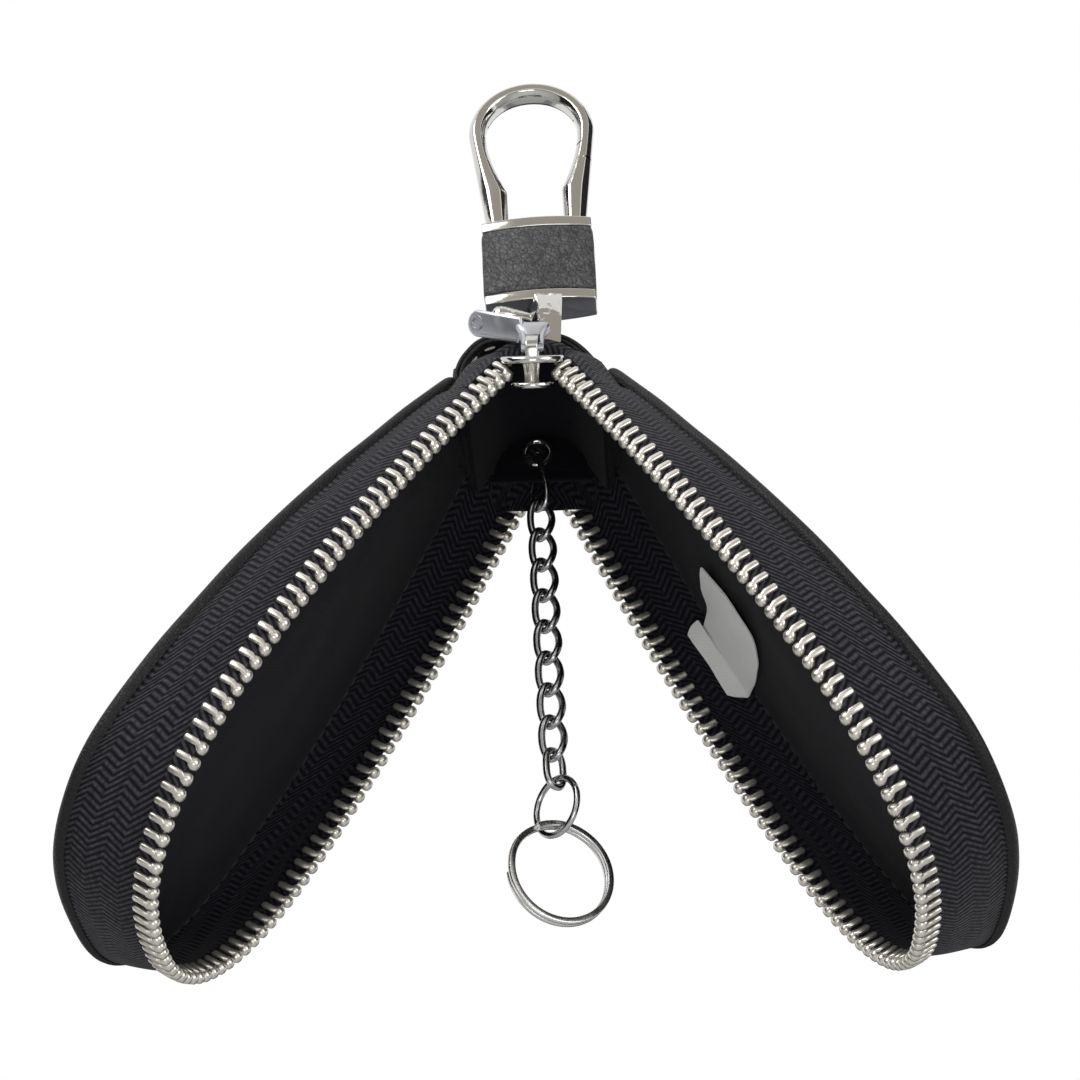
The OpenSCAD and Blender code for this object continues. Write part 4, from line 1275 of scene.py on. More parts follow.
    def foot_tool(self, pin_z: float) -> Mesh:
        """The solid that slopes the gate's foot, so that it clears the block as it swings in.

        Args:
            pin_z: The height of the gate's pin.

        Returns:
            The solid's mesh.
        """
        turn = math.radians(self.swing_deg)
        rise = self.foot_gap - self.block_drop - pin_z
        inner, knee, far = -self.pin_x, rise * math.tan(turn / 2), self.bow_r
        high = (rise - inner * math.sin(turn)) / math.cos(turn)
        corners = [(inner, high), (knee, rise), (far, rise), (far, -rise), (inner, -rise)]
        spots = [(self.pin_x + x, pin_z + z) for x, z in corners]
        return make_mesh(prism(spots, self.depth), UPRIGHT, (CHROME,))

    def gate(self) -> None:
        """The hinged arm, with the tang that its pin goes through."""
        top = -self.block_drop
        arm = self.arm(1, self.heights(-self.bow_in_r - 1, top))
        mesh = make_mesh(self.band(arm), UPRIGHT, (CHROME,))
        pin_z = top - self.plate_t - 1
        mesh = cut(mesh, self.seam_tool(upper=True), 30.0)
        mesh = cut(mesh, self.foot_tool(pin_z), 30.0)
        self.settle(link_object("gate_arm", mesh), "polished_metal", "gate", ("gate",))
        high, low = top + self.tang_rise, pin_z - self.tang_drop
        out_x, heel_x = self.foot_x - self.sleeve_t, self.pin_x - self.heel_reach
        under, over = pin_z - self.heel_half_h, pin_z + self.heel_half_h
        corners = [(self.foot_in_x, high), (out_x, high), (out_x, low),
                   (self.pin_x - self.toe_reach, low), (self.pin_x - self.toe_slope, under),
                   (heel_x, under), (heel_x, over), (self.foot_in_x, over)]
        self.shape("gate_tang", prism(rounded(corners, 0.25, 3), self.tang_t / 2),
                   UPRIGHT, (STEEL,), "hidden_metal", "gate", "", 30.0)

    def lens(self, margin: float) -> np.ndarray:
        """Outline of the block, drawn in by a margin, with soft corners.

        Args:
            margin: How far it is drawn in.

        Returns:
            The outline's points.
        """
        half = self.block_w / 2
        bulge = (self.block_d - self.block_end_d) / 2
        arc_r = (half * half + bulge * bulge) / (2 * bulge)
        middle = self.block_d / 2 - arc_r
        x = (half - self.corner_r) * (np.arange(20) + 0.5) / 20
        y = middle + np.sqrt((arc_r - margin) ** 2 - x * x)
        edge = half - margin
        end_y = middle + math.sqrt((arc_r - margin) ** 2 - edge * edge)
        start = np.array([x[-1], y[-1]])
        corner, end = np.array([edge, end_y]), np.array([edge, end_y - self.corner_r])
        bend = corner_curve(start, corner, end, np.arange(1, 7) / 6)
        quarter = np.vstack([np.stack([x, y], axis=1), bend])
        return np.vstack([quarter, quarter[::-1] * [1, -1], quarter * [-1, -1],
                          quarter[::-1] * [-1, 1]])

    def sleeve(self) -> None:
        """The leather wrapped round the block, drawn in at its rolled ends."""
        top = -self.block_drop - self.plate_t - self.fit
        low = -self.block_drop - self.block_h + self.plate_t + self.fit
        rows = [(top - run, proud) for run, proud in self.sleeve_roll]
        rows += [(top + (low - top) * i / 20, 0.12 + 0.1 * math.sin(math.pi * i / 20))
                 for i in range(1, 20)]
        rows += [(low + run, proud) for run, proud in self.sleeve_roll[::-1]]
        rows += [(low, -self.sleeve_t), (top, -self.sleeve_t)]
        rings = np.array([[(x, y, z) for x, y in self.lens(-proud)] for z, proud in rows])
        swell = uneven(rings[:-2], 3.2, 0.1)
        rings[:-2, :, :2] += unit(rings[:-2, :, :2]) * swell[:, :, None]
        self.shape("block_sleeve", loft(rings, closed=True), UPRIGHT,
                   (SLEEVE_LEATHER,), "leather", "hook", "leather_sleeve")

    def build(self) -> None:
        """Builds the hook."""
        self.shackle()
        self.gate()
        self.sleeve()
        for node in ("gate_pin", "gate_spring", "block_core"):
            self.keep(node, STEEL)
        self.softened("top_plate", CHROME, self.edge_r, "polished_metal", "hook", "block_top")
        base = self.softened("bottom_plate", CHROME, self.edge_r, "polished_metal", "hook",
                             "block_bottom")
        # The faces that look straight down get the darker, duller underside metal.
        base.data.materials.append(UNDERSIDE_METAL.material())
        for face in base.data.polygons:
            if face.normal.z < -0.95:
                face.material_index = 1
        self.keep("swivel_post", CHROME)
        self.softened("swivel_ring", BUFFED_CHROME, 0.4, "polished_metal", "swivel", "ring_bow")


@dataclass
class Spine(SubAssembly):
    """The leather spine, the loop strap over it, its lining, the gussets, the tab and its eyelet.
    The bands over the spine, their stitches and the gussets are made in a left and a right half
    that meet at the top."""

    spine_r: float = 10.6
    spine_y: float = 14.0
    spine_t: float = 1.2
    spine_zc: float = -0.5
    strap_r: float = 13.8
    strap_y: float = 8.0
    strap_t: float = 1.6
    strap_xc: float = -0.7
    strap_zc: float = 2.6
    # Turns round the spine in degrees, and the strap's distance there as a share of its radius.
    strap_shares: tuple = ((161, 1.02), (151, 1.09), (139, 1.13), (125, 1.15), (109, 1.07),
                           (87, 1.01), (68, 1.04), (48, 1), (23, 0.97))
    foot_s: float = 6.8
    lining_t: float = 0.5
    tape_t: float = 0.7
    gusset_in_z: float = 4.3
    gusset_arm_s: float = 9.0
    tab_y: float = 12.0
    tab_half_w: float = 9.6
    tab_drop: float = 1.5
    tab_t: float = 1.0
    tab_gap: float = 0.4
    tab_corner: float = 0.6
    eyelet_r: float = 2.95
    eyelet_hole_r: float = 2.05
    eyelet_rise: float = 0.55
    washer_rise: float = 0.35
    barrel_t: float = 0.08
    barrel_out: float = 0.4
    eyelet_x: float = -2.3
    eyelet_z: float = -71.7
    stitch_pitch: float = 3.0
    stitch_inset: float = 1.6
    row_y: float = 20.0
    panel_s0: float = 0.7
    foot_drop: float = 2.05
    thread_share: float = 0.14
    gusset_belly: float = 0.5
    gusset_ribs: int = 9
    edge_proud: float = 1.2
    hole_gap: float = 0.1
    set_lift: float = 0.35
    far_hang: float = 5.0

    def arch(self, radius: float, foot_z: float) -> np.ndarray:
        """An even arch from the right foot to the left one, in the case's XZ plane.

        Args:
            radius: The arch's radius.
            foot_z: Height of its feet over the rows.

        Returns:
            Its points.
        """
        a = self.hanging.half_angle_deg
        turns = np.radians(np.linspace(a, 180 - a, 61))
        curve = round_points(turns, radius) + [0, self.spine_zc]
        feet = [self.hanging.half_point(side, s, 0, foot_z)[[0, 2]]
                for side, s in ((Side.RIGHT, self.foot_s), (Side.RIGHT, self.foot_s / 2),
                                (Side.LEFT, self.foot_s / 2), (Side.LEFT, self.foot_s))]
        return np.vstack([feet[:2], curve, feet[2:]])

    def strap_line(self) -> np.ndarray:
        """The strap's own line, from its right foot over the spine to its left foot.

        Returns:
            Its points.
        """
        foot_z = self.hanging.panel_z0 - 0.15
        curve = [(self.strap_xc + self.strap_r * r * math.cos(math.radians(a)),
                  self.strap_zc + self.strap_r * r * math.sin(math.radians(a)))
                 for a, r in self.strap_shares[::-1]]
        ends = [self.hanging.half_point(side, s, 0, foot_z)[[0, 2]]
                for side, s in ((Side.RIGHT, self.foot_s), (Side.RIGHT, self.panel_s0),
                                (Side.LEFT, self.panel_s0), (Side.LEFT, self.foot_s))]
        return smooth_line([*ends[:2], *curve, *ends[2:]], 9)

    def section(self, half_y: float, thick: float, layers: int) -> np.ndarray:
        """Section of a band of leather, whose edges show how many layers it has.

        Args:
            half_y: Half its width.
            thick: Its thickness.
            layers: The number of layers.

        Returns:
            The section, as place across and depth under the outer face.
        """
        r = thick / layers / 2
        edge = []
        for layer in range(layers):
            curve = round_points(np.radians(np.arange(90, -91, -30)), r, -r)
            edge.append(curve + [half_y - r, (2 * layer + 1) * r])
        edge = np.vstack(edge)
        across = np.linspace(-half_y + 2 * r, half_y - 2 * r, 9)
        crown = 0.12 * thick * (1 - (across / half_y) ** 2)
        top = np.stack([across, -crown], axis=1)
        low = np.stack([across[::-1], thick + crown], axis=1)
        return np.vstack([top, edge, low, edge[::-1] * [-1, 1]])

    def bent(self, name: str, line: np.ndarray, section: np.ndarray, finish: Finish, slot: str,
             node: str) -> None:
        """Makes a band over the spine in two halves.

        Args:
            name: The piece's name, to which the side is added.
            line: The band's line from right to left, in the case's XZ plane.
            section: Its section.
            finish: Its finish.
            slot: The record's material slot.
            node: The node that it stands for.
        """
        middle = self.top_of(line)
        line = line.copy()
        line[middle, 0] = 0.0
        inward = left_of(line)
        inward[middle] = (0.0, -1.0)
        for side in Side:
            part = slice(0, middle + 1) if side is Side.RIGHT else slice(middle, None)
            spots = line[part, None, :] + inward[part, None, :] * section[None, :, 1:]
            rings = np.stack([spots[:, :, 0], np.broadcast_to(section[:, 0], spots.shape[:2]),
                              spots[:, :, 1]], axis=2)
            piece = self.shape(f"{name}_{side.label}", loft(rings), self.hanging.case(),
                               (finish,), slot, None, node, 50.0)
            self.bend(piece, side, line[middle, 1])

    def top_of(self, line: np.ndarray) -> int:
        """The number of the point where a band's line crosses over the case's middle."""
        return int(np.argmin(np.abs(line[:, 0]) + (line[:, 1] < 0) * 100))

    def bend(self, piece: Piece, side: Side, top: float) -> None:
        """Works out a point at the piece's top and one at a half's foot, which nothing uses, and
        bakes the piece's frame into its mesh.

        Args:
            piece: The piece.
            side: The half at whose foot the point is worked out.
            top: The height of its top in the case's frame.
        """
        foot = self.hanging.half_point(side, 0.5, 0, self.hanging.panel_z0 - 1)
        self.hanging.case_spot(side.value * 0.5, 0, top)
        self.hanging.case_spot(*foot)
        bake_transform(piece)

    def stitches(self, name: str, line: np.ndarray, depth: float, finish: Finish,
                 trees: "Trees") -> None:
        """Rows of stitches along both edges of the strap.

        Args:
            name: The piece's name, to which the side is added.
            line: The strap's line.
            depth: Their depth under its outer face.
            finish: Their thread.
            trees: The node trees.
        """
        middle = self.top_of(line)
        inward = left_of(line)
        for side in Side:
            part = slice(2, middle) if side is Side.RIGHT else slice(middle + 1, -2)
            spots = line[part] + inward[part] * depth
            rows = []
            for y in (-self.strap_y + self.stitch_inset, self.strap_y - self.stitch_inset):
                path = np.stack([spots[:, 0], np.full(len(spots), y), spots[:, 1]], axis=1)
                count = int(length_of(path) / self.stitch_pitch)
                rows.append(trees.stitch_row(path, count, finish))
            mesh = join_meshes(rows)
            mesh.transform(in_metres(self.hanging.case()))
            piece = link_object(f"{name}_{side.label}", mesh)
            self.bend(self.settle(piece, "leather", None), side, line[middle, 1])

    def gusset(self, name: str, direction: int, arm: Sequence[float], tuck: float,
               node: str, hang: float = 0.0) -> None:
        """Tape cloth between the two rows at one end of the case, in two halves.

        Args:
            name: The piece's name, to which the side is added.
            direction: -1 for the near end, 1 for the far end.
            arm: Distances down the half that it reaches, from the top.
            tuck: How far it is drawn in at its middle.
            node: The node that it stands for.
            hang: How far down the rows its free edge hangs between them, or 0 for an arch.
        """
        place = self.hanging
        sill = place.half_point(Side.RIGHT, hang, 0, self.gusset_in_z)
        out_z, out_y = place.panel_z0 - 0.3, self.spine_y + self.tape_t
        inner = place.half_point(Side.RIGHT, 0, 0, self.gusset_in_z)
        outer = place.half_point(Side.RIGHT, self.panel_s0, 0, out_z)
        angles = [math.atan2(p[2], p[0]) for p in (inner, outer)]
        radii = [math.hypot(p[0], p[2]) for p in (inner, outer)]
        rise = radii[1] - self.spine_r + self.spine_t / 2
        for side in Side:
            stations = []
            for k in np.linspace(0.5, 0, 13):
                q = math.sin(math.pi * k)
                turn = [a + (math.pi - 2 * a) * k for a in angles]
                reach = radii[1] - rise * min(1, 2 * q)
                inner_end = (side.value * radii[0] * math.cos(turn[0]),
                             direction * (self.row_y - tuck * min(1, 1.7 * q)),
                             radii[0] * math.sin(turn[0]))
                if hang:
                    inner_end = (side.value * sill[0] * math.cos(math.pi * k),
                                 direction * self.row_y, sill[2] - 0.4 * q)
                stations.append([
                    inner_end,
                    (side.value * reach * math.cos(turn[1]), direction * out_y,
                     reach * math.sin(turn[1]))])
            for s in arm:
                width = max(float(PANEL.half_width(s)) - self.edge_proud, out_y)
                stations.append([
                    place.half_point(side, s, direction * float(ROW.half_width(s)),
                                     self.gusset_in_z),
                    place.half_point(side, max(s, self.panel_s0), direction * width, out_z)])
            ends = np.array(stations, float)
            share = np.linspace(0, 1, self.gusset_ribs)[None, :, None]
            sheet = ends[:, :1] + (ends[:, 1:] - ends[:, :1]) * share
            belly = np.sin(np.pi * share[..., 0]) * self.gusset_belly
            normal = unit(np.cross(np.gradient(sheet, axis=0), np.gradient(sheet, axis=1)))
            normal *= np.sign(normal[..., 1:2]) * direction
            sheet = sheet + normal * belly[..., None]
            rings = np.concatenate([sheet + normal * self.tape_t / 2,
                                    (sheet - normal * self.tape_t / 2)[:, ::-1]], axis=1)
            marks = [0] * self.gusset_ribs + [1] * self.gusset_ribs
            # One face of the gusset gets the darker copy of the tape cloth, which is painted
            # shade.
            piece = self.shape(f"{name}_{side.label}", loft(rings, marks=marks), place.case(),
                               (TAPE_OUTER, TAPE_INNER_SHADED), "tape", None, node, 60.0)
            edge = place.half_point(side, 0.3, 0, 7.0)
            place.case_spot(side.value * 0.6, 0, 7.0)
            place.case_spot(edge[0], 0, 7.0)
            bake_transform(piece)

    def tab(self) -> None:
        """The cloth-covered tab, with the hole that its eyelet goes through."""
        radius = self.spine_r - self.spine_t - self.lining_t - self.tab_gap
        top = round_points(np.radians(np.linspace(0, 180, 33)), radius) + [0, self.spine_zc]
        half, low, cut_off = self.tab_half_w, -self.tab_drop, self.tab_corner
        outline = np.vstack([top, [(-half, low + cut_off), (-half + cut_off, low),
                                   (half - cut_off, low), (half, low + cut_off)]])
        shell = plate(outline, -self.tab_t / 2, self.tab_t / 2, 0.35)
        mesh = make_mesh(shell, self.hanging.case() @ Matrix.Translation((0, self.tab_y, 0))
                         @ turned(90, "X"), (LINING_CLOTH,), 50.0)
        hole, reach = self.eyelet_hole_r + self.hole_gap, 3 * self.tab_t
        ring = np.array([(0, -reach), (hole, -reach), (hole, reach), (0, reach)])
        tool = make_mesh(revolve(ring, 48), self.eyelet_frame(), (LINING_CLOTH,))
        mesh = cut(mesh, tool, 50.0)
        self.settle(link_object("tab_cloth", mesh), "lining", "case", ("inner_tab",))

    def eyelet_frame(self) -> Matrix:
        """The eyelet's frame, whose Z comes out of the tab to the camera."""
        return (Matrix.Translation((self.eyelet_x, self.tab_y, self.eyelet_z))
                @ turned(90, "X"))

    def eyelet(self) -> None:
        """The rolled eyelet and its washer, both a little pulled up by their setting."""
        face = self.tab_t / 2
        mid = (self.eyelet_r + self.eyelet_hole_r) / 2
        roll = (self.eyelet_r - self.eyelet_hole_r) / 2
        arc = round_points(np.radians(np.linspace(0, 180, 13)), roll, self.eyelet_rise)
        hole, low = self.eyelet_hole_r, -face - self.barrel_out
        barrel = [(hole, low), (hole + self.barrel_t, low), (hole + self.barrel_t, face)]
        front = revolve(np.vstack([arc + [mid, face], barrel]), 56)
        flat = round_points(np.radians(np.linspace(0, 180, 9)), roll, -self.washer_rise)
        back = revolve(flat + [mid, -face - 0.1], 56)
        for name, shell, node in (("eyelet_rolled", front, "eyelet"),
                                  ("eyelet_back", back, "eyelet_washer")):
            rise = np.maximum(0, shell.points[:, 1]) / self.eyelet_r
            shell.points[:, 1] += self.set_lift * rise ** 6
            self.shape(name, shell, self.eyelet_frame(), (CHROME,), "polished_metal", "case",
                       node)

    def build(self, trees: "Trees") -> None:
        """Builds the spine and what hangs from it.

        Args:
            trees: The node trees.
        """
        line = self.strap_line()
        self.bent("strap", line, self.section(self.strap_y, self.strap_t, 2), BENT_LEATHER,
                  "leather", "loop_strap")
        self.stitches("strap_stitches", line, -self.thread_share * self.strap_t, DARK_THREAD,
                      trees)
        # The back stitches' pale thread stands for glints inside the loop: a painted glint.
        self.stitches("strap_back_stitches", line, (1 + self.thread_share) * self.strap_t,
                      PALE_GLINT_THREAD, trees)
        leather = self.arch(self.spine_r, self.spine_r - self.foot_drop)
        self.bent("spine", leather, self.section(self.spine_y, self.spine_t, 1), BENT_LEATHER,
                  "leather", "spine_leather")
        inner = self.spine_r - self.spine_t - 0.15
        lining = self.arch(inner, inner - self.foot_drop)
        self.bent("spine_cloth", lining, self.section(self.spine_y, self.lining_t, 1),
                  LINING_CLOTH, "lining", "spine_lining")
        steps = [self.gusset_arm_s * k / 5 for k in range(1, 6)]
        tuck = self.row_y - self.spine_y
        self.gusset("near_gusset_cloth", -1, steps, tuck - 1.2 * self.tape_t, "near_gusset")
        self.gusset("far_gusset_cloth", 1, (), tuck - 2 * self.tape_t, "far_gusset",
                    self.far_hang)
        self.tab()
        self.eyelet()


def join_meshes(meshes: Sequence[Mesh]) -> Mesh:
    """Several meshes as one, which keeps the first one's finish.

    Args:
        meshes: The meshes, which are removed.

    Returns:
        The joined mesh.
    """
    work = bmesh.new()
    for mesh in meshes:
        work.from_mesh(mesh)
    found = meshes[0].copy()
    work.to_mesh(found)
    work.free()
    for mesh in meshes:
        bpy.data.meshes.remove(mesh)
    return found


@dataclass
class Trees:
    """The node trees, and the small pieces that they copy."""

    stitch_l: float = 2.1
    stitch_r: float = 0.24
    flat_row: RowTree = field(default_factory=lambda: RowTree("row_in_plane", Pivot.FLAT))
    free_row: RowTree = field(default_factory=lambda: RowTree("row_in_space", Pivot.FREE))
    wire: WireTree = field(default_factory=lambda: WireTree("round_wire"))
    stitch: Mesh | None = None

    def stitch_mesh(self) -> Mesh:
        """One stitch: a short bow of thread, thickest at its middle.

        Returns:
            Its mesh, in metres, which faces along X.
        """
        if self.stitch is None:
            rings = []
            for t in np.linspace(-1, 1, 9):
                r = self.stitch_r * math.sqrt(max(0.02, 1 - t ** 4))
                rings.append([(t * self.stitch_l / 2, r * math.cos(a), r * math.sin(a))
                              for a in np.arange(6) * math.pi / 3])
            self.stitch = make_mesh(loft(np.array(rings)), UPRIGHT, (DARK_THREAD,),
                                    70.0)
        return self.stitch

    def stitch_row(self, path: np.ndarray, count: int, finish: Finish) -> Mesh:
        """A row of stitches along a path, in metres in the path's frame."""
        return self.free_row.run(path, self.stitch_mesh(), count, finish, 2.5)


@dataclass
class Tooth:
    """One zip tooth: a round head that leans along the row, and two legs closed on the tape."""

    leg_y: float = 0.77
    # Levels: height, place along the row, half-length and half-width.
    head: tuple = ((0.02, 0.12, 0.5, 0.5), (0.24, 0.12, 0.9, 0.86), (0.8, 0.1, 1.1, 1.08),
                   (1.3, 0.05, 1.0, 1.14), (1.7, -0.1, 0.66, 1.14))
    leg: tuple = ((1.1, -0.05, 0.5, 0.34), (1.8, -0.36, 0.6, 0.44), (3.65, -0.4, 0.6, 0.44),
                  (4.0, -0.4, 0.36, 0.26))

    def stack(self, levels: Sequence[Sequence[float]], y: float, sides: int,
              power: float = 1.0) -> Shell:
        """A solid of flattened rings, one over the other.

        Args:
            levels: Each ring's height, its place along the row, and its two half sizes.
            y: Where their middles are, across the row.
            sides: The number of sides.
            power: 1 for ellipses, less for rings with flatter sides.

        Returns:
            The solid.
        """
        turns = (np.arange(sides) + 0.5) * 2 * math.pi / sides
        c, s = squared(np.cos(turns), power), squared(np.sin(turns), power)
        rings = [np.stack([x + a * c, y + b * s, np.full(sides, z)], axis=1)
                 for z, x, a, b in levels]
        return loft(np.array(rings))

    def mesh(self) -> Mesh:
        """The tooth, which faces along X and whose head is at height zero.

        Returns:
            Its mesh, in metres.
        """
        legs = [self.stack(self.leg, sign * self.leg_y, 8, 0.6) for sign in (-1, 1)]
        shell = self.stack(self.head, 0.0, 8).joined(*legs)
        return make_mesh(shell, UPRIGHT, (TEETH_NICKEL,), 80.0)


@dataclass
class ZipHalf(SubAssembly):
    """One half of the case: leather panel, board, lining, zip tape and its row of teeth."""

    side: Side = Side.LEFT
    panel_s0: float = 0.7
    left_sag: float = 1.8
    panel_t: float = 2.2
    leather_t: float = 0.9
    edge_proud: float = 1.2
    crown: float = 0.5
    lip_in: float = 0.8
    shoulder: float = 1.6
    fit: float = 0.05
    board_z: float = 0.55
    tape_t: float = 0.6
    tape_low: float = 1.5
    tooth_top: float = 4.0
    near_start: float = 9.4
    far_start: float = 0.8
    tooth_pitch: float = 2.55
    first_free: int = 4
    axis_top: float = 16.0
    axis_low: float = 88.0
    belly: float = 0.55
    tape_up: float = 0.45
    cord_share: float = 0.55
    neck_share: float = 0.62
    seam_pitch: float = 2.7
    seam_in: float = 2.9
    thread_up: float = 0.16
    lining_seam_in: float = 1.1
    lining_thread_z: float = -0.42
    # The width and the depth of the leather's dents.
    dents: tuple = (14.0, 0.22)
    # The lining's turned edge: how far it is drawn in past its seam, and its height.
    hem: tuple = ((0.4, 0.45), (0, 0.35), (0, -0.05), (0.5, -0.3), (1.6, -0.55), (3.5, -0.5),
                  (5.5, -0.35))

    @property
    def body(self) -> str:
        """The body that this half is."""
        return f"{self.side.label}_half"

    def part(self, words: str, shell: Shell, place: Matrix, finishes: Sequence[Finish],
             slot: str, smooth_deg: float = 50.0) -> None:
        """Makes the piece and names it and its node for the side, by the two words given."""
        own, node = (f"{self.side.label}_{word}" for word in words.split())
        self.shape(own, shell, place, finishes, slot, self.body, node, smooth_deg)

    def ring(self, inset: float, height: float | np.ndarray) -> np.ndarray:
        """The panel's outline at an inset and a height."""
        sag = self.left_sag if self.side is Side.LEFT else 0.0
        return at_height(PANEL.ring(self.panel_s0 + sag, inset), height)

    def towards_axis(self, ring: np.ndarray, share: float) -> np.ndarray:
        """A ring drawn in by a share of its way to the panel's middle line.

        Args:
            ring: The ring.
            share: The share.

        Returns:
            The new ring.
        """
        axis = ring.copy()
        axis[:, 0] = np.clip(ring[:, 0], self.axis_top, self.axis_low)
        axis[:, 1] = 0
        return ring + (axis - ring) * share

    def face(self, start: np.ndarray, rise: float, steps: int = 10) -> list[np.ndarray]:
        """Rings that close a face from an outline to its middle line.

        Args:
            start: The outline.
            rise: How much higher the middle is.
            steps: The number of rings.

        Returns:
            The rings.
        """
        found = []
        for share in np.arange(1, steps + 1) / steps:
            ring = self.towards_axis(start, share)
            ring[:, 2] += rise * (1 - (1 - share) ** 2)
            found.append(ring)
        return found

    def leather(self) -> None:
        """The panel's leather, turned over the board's edge."""
        r = self.panel_t / 2
        outer_start = self.ring(self.shoulder * r, self.panel_t)
        outer = self.face(outer_start, self.crown)[::-1]
        edge = [self.ring(r - r * math.sin(a), r + r * math.cos(a))
                for a in np.radians([25, 50, 70, 90, 110, 130, 150])]
        lip = [self.ring(self.lip_in - 0.15, 0.02), self.ring(self.lip_in, 0.12),
               self.ring(self.leather_t, 0.5), self.ring(self.leather_t, 1.25)]
        inner_start = self.ring(self.shoulder * r, self.panel_t - self.leather_t)
        inner = self.face(inner_start, self.crown)
        rings = np.array(outer + [outer_start] + edge + lip + [inner_start] + inner)
        rings[..., 2] += uneven(rings, *self.dents)
        self.part("panel leather", loft(rings), self.hanging.panel(self.side), (CASE_LEATHER,),
                  "leather")

    def board(self) -> None:
        """The stiffener board between the leather and the lining."""
        low, high = self.board_z, self.panel_t - self.leather_t - self.fit
        inset = self.leather_t + self.fit
        under = self.face(self.ring(inset, low), 0.0, 3)[::-1]
        over = self.face(self.ring(inset, high), 0.0, 3)
        rings = np.array(under + [self.ring(inset, low), self.ring(inset, high)] + over)
        self.part("stiffener board", loft(rings), self.hanging.panel(self.side), (FIBRE_BOARD,),
                  "board")

    def lining(self) -> None:
        """The lining, a little full along its seam."""
        start = self.edge_proud + self.tape_t / 2 + 0.15
        edge = [self.ring(start + inset, height) for inset, height in self.hem]
        face = self.face(edge[-1], 0.1, 16)
        back = self.face(self.ring(start + 3.0, 0.45), 0.0, 4)[::-1]
        rings = np.array(back + edge + face)
        soft = uneven(rings, 9.0, 0.35) + uneven(rings, 26.0, 0.5)
        first = len(back) + 3
        rings[first:, :, 2] -= np.abs(soft[first:]) * 0.8
        self.part("lining_cloth lining", loft(rings), self.hanging.panel(self.side),
                  (LINING_CLOTH,), "lining", 60.0)

    def tape(self) -> None:
        """The tape, from the cord in the teeth's jaws out to the panel."""
        row = ROW.path(self.near_start, self.far_start)
        top = PANEL.path(self.near_start, self.far_start, self.edge_proud)
        normal = -left_of(row)
        high = self.hanging.panel_face(top[:, 0]) + self.tape_up
        start = self.tooth_top + 0.15
        spots = [at_height(row, self.tape_low), at_height(row, start)]
        thick = [self.cord_share * self.tape_t, self.neck_share * self.tape_t]
        for share in np.linspace(0.07, 1, 14):
            flat = row + (top - row) * share
            flat = flat + normal * (self.belly * math.sin(math.pi * share ** 0.8))
            spots.append(at_height(flat, start + (high - start) * share))
            thick.append(self.tape_t / 2)
        sheet = np.stack(spots, axis=1)
        sheet[:, 2:, :2] += normal[:, None, :] * uneven(sheet[:, 2:], 11.0, 0.35)[..., None]
        half = np.array(thick)[None, :, None]
        out = np.concatenate([normal, np.zeros((len(normal), 1))], axis=1)[:, None, :]
        outer, inner = sheet + out * half, sheet - out * half
        rings = np.concatenate([outer, inner[:, ::-1]], axis=1)
        count = sheet.shape[1]
        # The tape's inner face gets the darker copy of the tape cloth, which is painted shade.
        self.part("tape_cloth tape", loft(rings, marks=[0] * count + [1] * count),
                  self.hanging.half(self.side), (TAPE_OUTER, TAPE_INNER_SHADED), "tape", 60.0)

    def teeth(self, trees: Trees, tooth: Mesh) -> None:
        """The row of teeth, and its first teeth, which the slider holds.

        Args:
            trees: The node trees.
            tooth: One tooth's mesh.
        """
        path = ROW.path(0, 0)
        last = int((length_of(path) - 1.3) / self.tooth_pitch)
        for name, first, end in (("teeth_row", self.first_free, last),
                                 ("zip_start_row", 1, self.first_free - 1)):
            steps = np.arange(0, (end - first) * 8 + 1) / 8 + first
            spots = np.array([point_at(path, d * self.tooth_pitch) for d in steps])
            mesh = trees.flat_row.run(at_height(spots, 0.0), tooth, end - first + 1,
                                      TEETH_NICKEL, 1.5)
            mesh.transform(in_metres(self.hanging.half(self.side)))
            tidy(mesh, 60.0, merge=False)
            piece = link_object(f"{self.side.label}_{name}", mesh)
            if end == last:
                self.settle(piece, "teeth", self.body, (f"{self.side.label}_teeth",))
            else:
                self.settle(piece, "teeth", None, ("zip_start",))
                self.hanging.spot(self.side, 0, -20, 0)
                self.hanging.spot(self.side, 9, -20, 0)
                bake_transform(piece)

    def seams(self, trees: Trees) -> None:
        """Stitches round the outer face, and along the lining where it meets the tape.

        Args:
            trees: The node trees.
        """
        outer = self.ring(self.seam_in, self.panel_t + self.thread_up)
        outer = np.vstack([outer, outer[:1]])
        outer[:, 2] += uneven(outer, *self.dents)
        inner = at_height(PANEL.path(3, 3, self.edge_proud + self.lining_seam_in),
                          self.lining_thread_z)
        for name, path, finish in (("edge_stitches", outer, DARK_THREAD),
                                   ("lining_stitches", inner, GREY_THREAD)):
            count = int(length_of(path) / self.seam_pitch)
            mesh = trees.stitch_row(path, count, finish)
            mesh.transform(in_metres(self.hanging.panel(self.side)))
            tidy(mesh, 70.0, merge=False)
            self.settle(link_object(f"{self.side.label}_{name}", mesh), "leather", self.body)

    def build(self, trees: Trees, tooth: Mesh) -> None:
        """Builds the half.

        Args:
            trees: The node trees.
            tooth: One tooth's mesh.
        """
        self.leather()
        self.board()
        self.lining()
        self.tape()
        self.teeth(trees, tooth)
        self.seams(trees)


